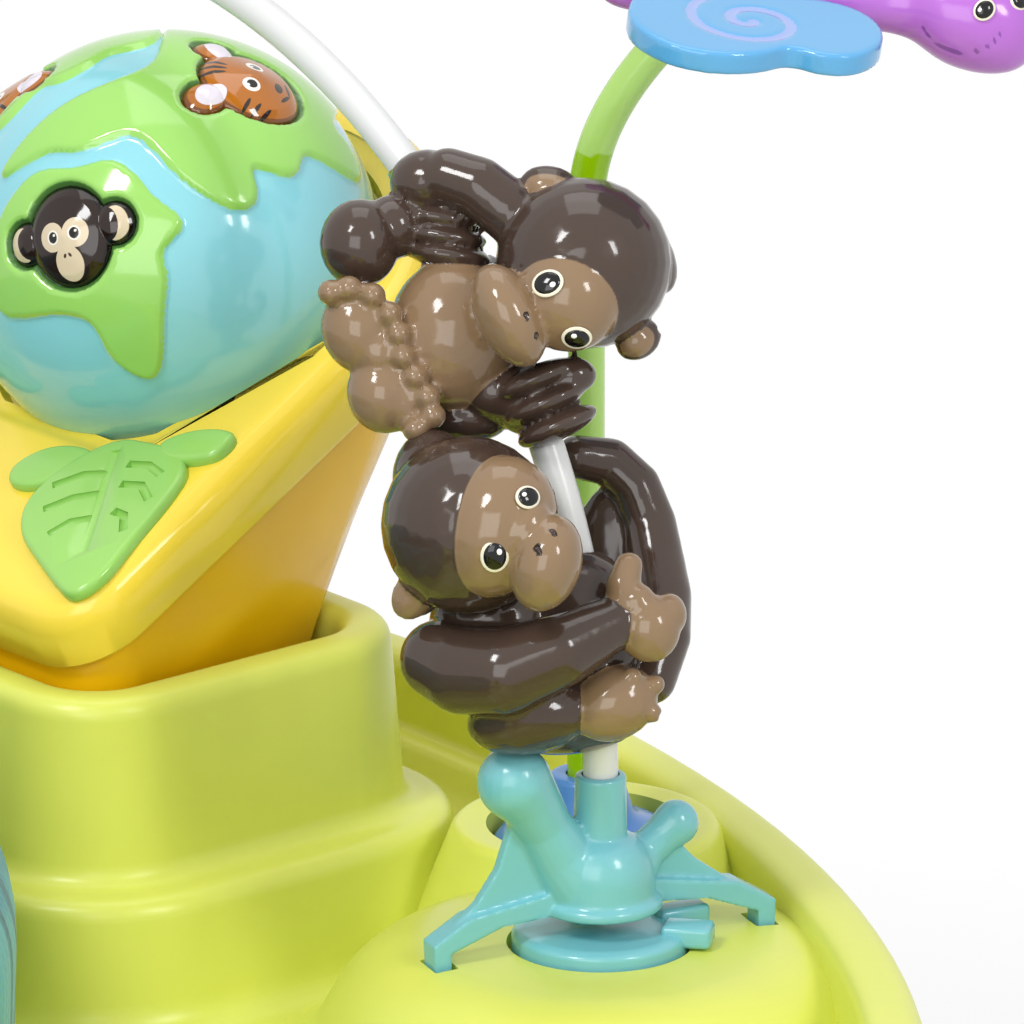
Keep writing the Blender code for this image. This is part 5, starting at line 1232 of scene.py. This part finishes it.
def make_butterfly_post():
    """Straight post that bends at its top, with two painted bands, in its flange."""
    straight = POST_RISE * STRAIGHT_SHARE
    path = [(0.0, 0.0, height) for height in np.linspace(-0.0075, straight, 110)]
    for share in np.linspace(0, 1, 31)[1:]:
        path.append((POST_LEAN * share ** 2, 0.0, straight + (POST_RISE - straight) * share))
    bar = tube("bent_post", path, POST_RADIUS, 6)
    height = points_of(bar)[:, 2] * 1000
    paint(bar, "band", np.minimum(np.abs(height - 136.5) - 4.0, np.abs(height - 15.0) - 5.0), 0.3)
    moved(bar, BUTTERFLY_FRAME)
    set_up(bar, post_abs, "tray_body", ["butterfly_post"], 60)
    flange = spun("post_flange", rounded([
        (0.0045, -0.0157, 0), (0.0197, -0.0157, 0.001), (0.0197, -0.0055, 0.003), (0.0165, -0.0015, 0.003),
        (0.0100, 0.0010, 0.002), (0.0072, 0.0100, 0.0012), (0.0040, 0.0100, 0.0003), (0.0040, -0.0150, 0),
    ], closed=True), 56, closed=True)
    moved(flange, BUTTERFLY_FRAME)
    set_up(flange, flange_abs, "tray_body", ["butterfly_flange"], 40)


def make_butterfly_body():
    """Body and head as one soft form along the body's length, in millimetres, with a pressed smile painted
    darker as shade.
    """
    stations = np.array([
        (-17.5, 9.6, 0.3), (-16.5, 9.5, 2.2), (-14, 9.2, 4.0), (-12, 9.0, 5.0), (0, 8.5, 6.8), (14, 8.0, 7.5),
        (30, 6.5, 7.0), (40, 5.2, 5.6), (46, 4.4, 6.4), (49, 4.0, 8.6), (53, 3.0, 10.5), (60, 2.0, 11.5),
        (66, 1.2, 10.4), (69.5, 0.7, 7.8), (71.2, 0.5, 4.4), (71.8, 0.5, 0.4),
    ])
    along = np.linspace(0, 1, 160)
    reach = np.linspace(0, 1, len(stations))
    line = np.stack([np.interp(along, reach, stations[:, k]) for k in range(3)], axis=1)
    for _ in range(40):
        line[1:-1] = 0.5 * line[1:-1] + 0.25 * (line[:-2] + line[2:])
    circle = np.linspace(0, FULL_TURN, 49)[:-1]
    body = skinned("butterfly_trunk", [
        [(x, radius * math.cos(turn), z + radius * math.sin(turn)) for turn in circle] for x, z, radius in line
    ])
    points = points_of(body)
    x, y, z = points.T
    shaded_smile = np.abs(np.hypot(x - 56, z - 6) - 8.6) - 0.30
    shaded_smile = np.where((y < 0) & (z < 2.5) & (x < 66), shaded_smile, 9.0)
    put_points(body, points - np.array([0.0, -0.35, 0.0]) * np.clip(0.5 - shaded_smile, 0, 1)[:, None])
    # Painted shade: the pressed smile groove is painted darker purple
    paint(body, "shaded_smile", shaded_smile, 0.25)
    moved(body, BUTTERFLY_LEVEL @ TO_METRES)
    clear = spun("post_clear", [(0.0, -0.03), (0.0043, -0.03), (0.0043, 0.0003), (0.0, 0.0003)], 32)
    combine(body, moved(clear, BUTTERFLY_LEVEL), "DIFFERENCE")
    set_up(body, purple_abs, "butterfly", ["butterfly_body"], 60)
    make_eye("butterfly_eye_a", "butterfly", (75.7, 150.6, -2.3), (0.05, 0.1, 1.0), 1.7, -20)
    make_eye("butterfly_eye_b", "butterfly", (82.6, 152.4, -5.6), (0.62, 0.25, 0.75), 1.6, -20)


def make_wing(word, side):
    """Thick scalloped wing with a pressed swirl, in millimetres on its hinge."""
    outline = [(-12, 1.6), (6, 1.6), (20, 1.6), (27, 8), (29, 19), (24, 29), (16, 31), (10, 27.5), (4, 34),
               (-6, 37), (-16, 34), (-23, 23), (-21, 8)]
    wing = slab("wing_" + word, smooth_outline([(x, side * y) for x, y in outline], 8), -2.4, 2.4)
    points = points_of(melted(wing, 0.7, 8))
    swirl = np.full(len(points), 1e9)
    for turn in np.linspace(0.6, 3.3 * math.pi, 90):
        radius = 1.25 * turn
        spot = np.array((2 + radius * math.cos(turn), side * (17 + radius * math.sin(turn))))
        swirl = np.minimum(swirl, np.hypot(*(points[:, :2] - spot).T))
    press = np.clip(0.5 - (swirl - 1.1) / 1.2, 0, 1)
    points[:, 2] -= 0.35 * press * np.sign(points[:, 2])
    put_points(wing, points)
    paint(wing, "swirl", swirl - 1.1, 0.35)
    hinge = BUTTERFLY_LEVEL @ Matrix.Translation((0.012, side * 0.0081, 0.0085))
    hinge = hinge @ Matrix.Rotation(math.radians(7), 4, "Y") @ Matrix.Rotation(side * math.radians(-6), 4, "X")
    moved(wing, hinge @ TO_METRES)
    set_up(wing, wing_abs, "wing_" + word, ["butterfly_wing_" + word], 60)


make_butterfly_post()
make_butterfly_body()
make_wing("near", -1)
make_wing("far", 1)


# Ring post on the left and sprout on the right

def make_ring_post():
    """Post with a knob and three lobed rings that turn on it."""
    base = Matrix.Translation(mirrored(BOSS))
    post = spun("ring_stem", rounded([
        (0.0, -0.0157, 0), (0.0197, -0.0157, 0.001), (0.0197, -0.004, 0.002), (0.016, 0.002, 0.003),
        (0.0100, 0.0117, 0.0008), (0.006, 0.0117, 0), (0.006, 0.0681, 0), (0.011, 0.0681, 0.001),
        (0.0135, 0.0758, 0.006), (0.0095, 0.0915, 0.008), (0.0, 0.095, 0),
    ], steps=8), 56)
    moved(post, base)
    set_up(post, ring_teal_abs, "tray_body", ["ring_post"], 35)
    finishes = ((purple_abs, "purple"), (wing_abs, "wing_blue"), (yellow_abs, "toy_yellow"))
    for step, (material, slot) in enumerate(finishes):
        middle = 0.012 + 0.0186 * (step + 0.5)
        outer = 0.021 - 0.002 * step
        profile = [(0.0066, middle - 0.0088), (0.0066, middle + 0.0088)]
        for turn in np.linspace(0.5 * math.pi, -0.5 * math.pi, 25):
            profile.append((outer - 0.0075 + 0.0073 * math.cos(turn), middle + 0.0088 * math.sin(turn)))
        ring = spun(f"stack_ring_{step + 1}", profile, 96, closed=True)
        points = points_of(ring)
        turns, reach = polar(points)
        swell = 1 - 0.035 * (0.5 - 0.5 * np.cos(8 * turns)) * np.clip((reach - 0.010) / 0.006, 0, 1)
        points[:, :2] *= swell[:, None]
        put_points(ring, points)
        moved(ring, base)
        set_up(ring, material, f"ring_{step + 1}", [f"spin_ring_{step + 1}"], 50)


def make_sprout():
    """Stem with a five-petalled bloom that turns on it."""
    base = Matrix.Translation(SIDE)
    stem = spun("sprout_foot", rounded([
        (0.0, -0.0117, 0), (0.006, -0.0117, 0.0005), (0.006, 0.0003, 0), (0.020, 0.0003, 0.0008),
        (0.0185, 0.004, 0.002), (0.008, 0.010, 0.005), (0.006, 0.026, 0.0006), (0.004, 0.026, 0.0003),
        (0.004, 0.034, 0.0006), (0.0, 0.034, 0),
    ], steps=6), 48)
    moved(stem, base)
    set_up(stem, leaf_abs, "tray_body", ["sprout_stem"], 40)
    profile = rounded([
        (0.0043, 0.0343, 0), (0.0043, 0.0263, 0.0003), (0.014, 0.0263, 0.002), (0.026, 0.034, 0.005),
        (0.0292, 0.041, 0.005), (0.024, 0.048, 0.005), (0.014, 0.0505, 0.003), (0.0125, 0.0555, 0.004),
        (0.0, 0.0602, 0), (0.0, 0.0343, 0),
    ], steps=8)
    bloom = spun("bloom_petals", profile, 120)
    points = points_of(bloom)
    turns, reach = polar(points)
    depth = np.clip((reach - 0.013) / 0.012, 0, 1)
    points[:, :2] *= (1 + 0.09 * (np.sqrt(np.abs(np.cos(2.5 * turns))) * 1.6 - 1) * depth)[:, None]
    put_points(bloom, points)
    moved(bloom, base)
    set_up(bloom, yellow_abs, "bloom", ["sprout_bloom"], 50)


make_ring_post()
make_sprout()


# Turning seat
RING_TOP_Z = 0.4663
FLANGE_Z = 0.4203
FLANGE_TOP_Z = 0.4243
COLLAR_TOP_Z = 0.5063
COLLAR_CHANNELS = 9
PIPING_CIRCLE = 0.1810
HOOP_MIDDLE = 0.178
SLING_RIM = 0.1748
SLING_TOP_Z = 0.4238
SLING_DEPTH = 0.1535
LEG_HOLE_X, LEG_HOLE_Y, LEG_HOLE_RADIUS = 0.074, 0.012, 0.050
# Bowl from its rim to its floor, in shares of the rim's radius and of the depth
SLING_SHAPE = [(1.0, 0.0), (0.985, 0.18), (0.955, 0.38), (0.90, 0.58), (0.82, 0.74), (0.70, 0.86),
               (0.55, 0.935), (0.38, 0.975), (0.2, 0.992), (0.08, 0.998)]


def make_seat_ring():
    """Hoop with the flange that turns on the rollers."""
    profile = rounded([
        (0.176, 0.4003, 0.001), (0.180, 0.4003, 0.001), (0.180, FLANGE_Z, 0.0004), (0.1985, FLANGE_Z, 0.001),
        (0.1985, FLANGE_TOP_Z, 0.001), (0.180, FLANGE_TOP_Z, 0.0005), (0.180, RING_TOP_Z, 0.001),
        (0.176, RING_TOP_Z, 0.001),
    ], closed=True, steps=3)
    ring = spun("seat_hoop", profile, 144, closed=True)
    set_up(ring, ring_teal_abs, "seat", ["seat_ring"], 35)


def make_rollers():
    """Waisted rollers that lie in the pockets of the tray's ledge."""
    for step in range(ROLLER_COUNT):
        roller = spun(f"roller_{step + 1}", rounded([
            (0.0, -0.0045, 0), (0.005, -0.0045, 0.0009), (0.0046, 0.0, 0.002), (0.005, 0.0045, 0.0009),
            (0.0, 0.0045, 0),
        ]), 32)
        place = Matrix.Rotation(FULL_TURN * step / ROLLER_COUNT, 4, "Z")
        place = place @ Matrix.Translation((ROLLER_CIRCLE, 0.0, 0.415))
        moved(roller, place @ Matrix.Rotation(0.5 * math.pi, 4, "Y"))
        set_up(roller, pad_rubber, f"roller_{step + 1}", [f"seat_roller_{step + 1}"], 40)


def collar_profile():
    """Section of the padding over the hoop, a little under its full size."""
    return rounded([
        (0.1812, FLANGE_TOP_Z + 0.001, 0), (0.195, FLANGE_TOP_Z + 0.001, 0.003),
        (0.2015, DECK_Z + 0.006, 0.006), (0.2090, 0.450, 0.012), (0.2105, 0.494, 0.014),
        (0.1935, COLLAR_TOP_Z + 0.005, 0.012), (0.1690, COLLAR_TOP_Z + 0.005, 0.012), (0.1570, 0.488, 0.014),
        (0.1560, 0.452, 0.012), (0.1620, FLANGE_TOP_Z + 0.003, 0.005), (0.1748, FLANGE_TOP_Z + 0.001, 0),
        (0.1748, RING_TOP_Z + 0.001, 0.001), (0.1812, RING_TOP_Z + 0.001, 0.001),
    ], closed=True, steps=6)


def swell_padding(pad, pressure, most):
    """Blow the cover up like stuffed cloth and keep every point within a reach of its pattern."""
    start = points_of(melted(pad, 0.005))
    cloth = pad.modifiers.new("cloth", "CLOTH")
    cloth.settings.quality = 5
    cloth.settings.mass = 0.3
    cloth.settings.tension_stiffness = 25
    cloth.settings.compression_stiffness = 25
    cloth.settings.bending_stiffness = 0.6
    cloth.settings.use_pressure = True
    cloth.settings.uniform_pressure_force = pressure
    cloth.settings.effector_weights.gravity = 0.0
    cloth.collision_settings.use_collision = False
    scene = bpy.context.scene
    for step in range(1, 21):
        scene.frame_set(step)
    shown = pad.evaluated_get(bpy.context.evaluated_depsgraph_get()).to_mesh()
    values = np.zeros(len(shown.vertices) * 3)
    shown.vertices.foreach_get("co", values)
    pad.modifiers.clear()
    scene.frame_set(1)
    shift = values.reshape(-1, 3) - start
    length = np.maximum(np.linalg.norm(shift, axis=1), 1e-9)
    put_points(pad, start + shift * np.minimum(1.0, most / length)[:, None])


def make_collar():
    """Stuffed cover over the hoop with sewn channels and a cord along its top."""
    collar = spun("collar_padding", collar_profile(), 144, closed=True)
    swell_padding(collar, 4.0, 0.004)
    change(collar, "SUBSURF", levels=1, render_levels=1)
    points = points_of(collar)
    turns, reach = polar(points)
    # Sewn channels: a sharp valley at each seam and a soft crown between, away from the hoop's wall
    phase = np.abs(np.sin(COLLAR_CHANNELS * turns / 2))
    gather = np.sin(turns * 72 + 3 * np.sin(points[:, 2] * 160)) * np.exp(-(phase / 0.25) ** 2)
    valley = 0.0052 * np.exp(-phase / 0.10) - 0.0006 * gather
    height = np.clip((points[:, 2] - RING_TOP_Z) / 0.03, -1, 1)
    outward = np.where(reach > HOOP_MIDDLE, 1.0, -1.0) * np.clip(np.abs(reach - HOOP_MIDDLE) / 0.012, 0, 1)
    away = np.stack([points[:, 0] / reach * outward, points[:, 1] / reach * outward, np.clip(height, 0, 1)],
                    axis=1)
    inner_wall = (np.abs(reach - HOOP_MIDDLE) < 0.0045) & (points[:, 2] < RING_TOP_Z + 0.004)
    valley = np.where(inner_wall, 0.0, valley)
    points = points - away * valley[:, None]
    reach = np.hypot(points[:, 0], points[:, 1])
    # The cover keeps clear of the hoop's wall, the seat flange and the tray's hole
    low, most = points[:, 2] < DECK_Z + 0.0035, 0.1965
    cap = np.where(low & (reach > most), most / reach, 1.0)
    points[:, :2] *= cap[:, None]
    points[:, 2] = np.maximum(points[:, 2], FLANGE_TOP_Z + 0.0004)
    reach = np.hypot(points[:, 0], points[:, 1])
    near = (points[:, 2] < RING_TOP_Z + 0.0004) & (reach > 0.1753) & (reach < 0.1807)
    push = np.where(reach > HOOP_MIDDLE, 0.1808, 0.1752) / reach
    points[:, :2] *= np.where(near, push, 1.0)[:, None]
    put_points(collar, points)
    set_up(collar, collar_cloth, "seat", ["seat_collar"], 80)
    piping = []
    for step in range(240):
        turn = FULL_TURN * step / 240
        dip = 0.004 * math.exp(-abs(math.sin(COLLAR_CHANNELS * turn / 2)) / 0.12)
        piping.append((PIPING_CIRCLE * math.cos(turn), PIPING_CIRCLE * math.sin(turn),
                       COLLAR_TOP_Z + 0.0092 - dip))
    piping.append(piping[0])
    cord = tube("collar_piping", piping, 0.0021, 4)
    set_up(cord, piping_cloth, "seat", (), 60)


def cut_leg_hole(sheet, x, y, radius):
    """Cut a round hole through the sheet, straight down, and draw the nearest points to its edge."""
    centre = np.array((x, y))
    select_points(sheet, np.hypot(*(points_of(sheet)[:, :2] - centre).T) < radius)
    bpy.ops.mesh.delete(type="VERT")
    bpy.ops.object.mode_set(mode="OBJECT")
    points = points_of(sheet)
    away = points[:, :2] - centre
    reach = np.maximum(np.hypot(*away.T), 1e-6)
    drawn = centre + away * (radius / reach)[:, None]
    points[:, :2] = np.where((reach < radius + 0.0045)[:, None], drawn, points[:, :2])
    put_points(sheet, points)


def make_sling():
    """Cloth bowl: panels sag between their seams, leg holes have bound edges."""
    rings = [(SLING_RIM * share, SLING_TOP_Z - SLING_DEPTH * drop) for share, drop in SLING_SHAPE]
    fine = [rings[0]]
    for start, end in zip(rings, rings[1:]):
        for step in range(1, 7):
            part = step / 6
            fine.append((start[0] + (end[0] - start[0]) * part, start[1] + (end[1] - start[1]) * part))
    sling = spun("sling_cloth", fine, 144)
    points = points_of(sling)
    turns, reach = polar(points)
    drop = np.clip((SLING_TOP_Z - points[:, 2]) / SLING_DEPTH, 0, 1)
    sag = 0.004 * np.abs(np.sin(3 * turns)) * np.sin(math.pi * drop)
    gather = 0.0009 * np.sin(turns * 41 + drop * 9) * np.exp(-drop / 0.15)
    points[:, :2] *= ((reach - np.abs(sag + gather)) / np.maximum(reach, 1e-6))[:, None]
    put_points(sling, points)
    for side in (1, -1):
        cut_leg_hole(sling, side * LEG_HOLE_X, LEG_HOLE_Y, LEG_HOLE_RADIUS)
    change(sling, "SOLIDIFY", thickness=0.0016, offset=0.0)
    set_up(sling, sling_cloth, "seat", ["seat_sling"], 70)
    reaches, heights = zip(*rings[::-1])
    for side, word in ((1, "right"), (-1, "left")):
        rim = []
        for step in range(96):
            turn = FULL_TURN * step / 96
            x = side * LEG_HOLE_X + LEG_HOLE_RADIUS * math.cos(turn)
            y = LEG_HOLE_Y + LEG_HOLE_RADIUS * math.sin(turn)
            rim.append((x, y, float(np.interp(math.hypot(x, y), reaches, heights))))
        rim.append(rim[0])
        binding = tube("leg_binding_" + word, rim, 0.0030, 4)
        set_up(binding, piping_cloth, "seat", (), 60)


make_seat_ring()
make_rollers()
make_collar()
make_sling()


# Base, springs, legs and height latches

def make_base():
    """Saucer with a pod for each leg and a seat under it for each foot pad."""
    rim = 0.372
    dish = spun("floor_dish", rounded([
        (0.0, 0.006, 0), (rim - 0.095, 0.006, 0.02), (rim - 0.040, 0.012, 0.02), (rim - 0.016, 0.040, 0.006),
        (rim - 0.009, 0.046, 0.006), (rim, 0.042, 0.005), (rim, 0.034, 0.004), (rim - 0.012, 0.006, 0.006),
        (rim - 0.026, 0.0, 0.006), (0.0, 0.0, 0),
    ], steps=7), 180)
    for turn in LEG_TURNS:
        pod = spun("pod", rounded([
            (0.0, 0.003, 0), (0.052, 0.003, 0), (0.0415, 0.012, 0.006), (0.037, 0.046, 0.010),
            (0.034, 0.086, 0.003), (0.030, 0.090, 0.003), (0.0, 0.090, 0),
        ], steps=6), 64)
        combine(dish, moved(pod, Matrix.Translation(leg_place(turn))), "UNION")
    for turn in LEG_TURNS:
        for radius, low, high in ((0.0194, 0.0316, 0.10), (0.0203, -0.01, 0.0043)):
            combine(dish, drill("cutter", leg_place(turn), radius, low, high, 48), "DIFFERENCE")
    set_up(dish, dish_polyethylene, "base", ["base_dish"], weighted=True)


def make_leg(letter, turn):
    """Leg with its height grooves, foot pad, coil spring and height latch."""
    place = Matrix.Translation(leg_place(turn))
    outline = [(0.0, 0.062, 0), (0.0187, 0.062, 0.002), (0.0187, 0.165, 0.0005), (0.031, 0.165, 0.001),
               (0.031, 0.169, 0.001), (0.0190, 0.173, 0.002)]
    for middle in (0.265, 0.303, 0.341):
        outline += [(0.0190, middle - 0.008, 0.002), (0.0175, middle - 0.004, 0.002),
                    (0.0175, middle + 0.004, 0.002), (0.0190, middle + 0.008, 0.002)]
    outline += [(0.0190, 0.412, 0.002), (0.0, 0.412, 0)]
    post = moved(spun("leg_" + letter, rounded(outline, steps=4), 56), place)
    set_up(post, leg_abs, "legs", ["leg_post_" + letter], 35)
    pad = spun("pad_" + letter, rounded([
        (0.0, 0.0, 0), (0.0200, 0.0, 0.0012), (0.0200, 0.0040, 0.0004), (0.0, 0.0040, 0),
    ]), 48)
    moved(pad, place)
    set_up(pad, pad_rubber, "base", ["foot_pad_" + letter], 40)
    coil, coil_turns, coil_radius = [], 4, 0.0245
    for share in np.linspace(0, 1, coil_turns * 48 + 1):
        angle = coil_turns * FULL_TURN * share
        coil.append((coil_radius * math.cos(angle), coil_radius * math.sin(angle), 0.0928 + 0.0694 * share))
    spring = moved(tube("coil_" + letter, coil, 0.0025, 5), place)
    set_up(spring, steel_wire, "base", ["leg_spring_" + letter], 60)
    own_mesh(spring)
    outline = [(0.0195, 0.332), (0.029, 0.332), (0.032, 0.336), (0.0307, 0.341), (0.032, 0.346), (0.029, 0.350),
               (0.0195, 0.350)]
    latch = slab("latch_" + letter, outline, -0.007, 0.007, 0.0012)
    moved(latch, standing(leg_place(turn), 0.0, turn) @ Matrix.Rotation(0.5 * math.pi, 4, "X"))
    set_up(latch, latch_abs, "latch_" + letter, ["height_latch_" + letter], 40)


make_base()
for letter, turn in zip("abc", LEG_TURNS):
    make_leg(letter, turn)
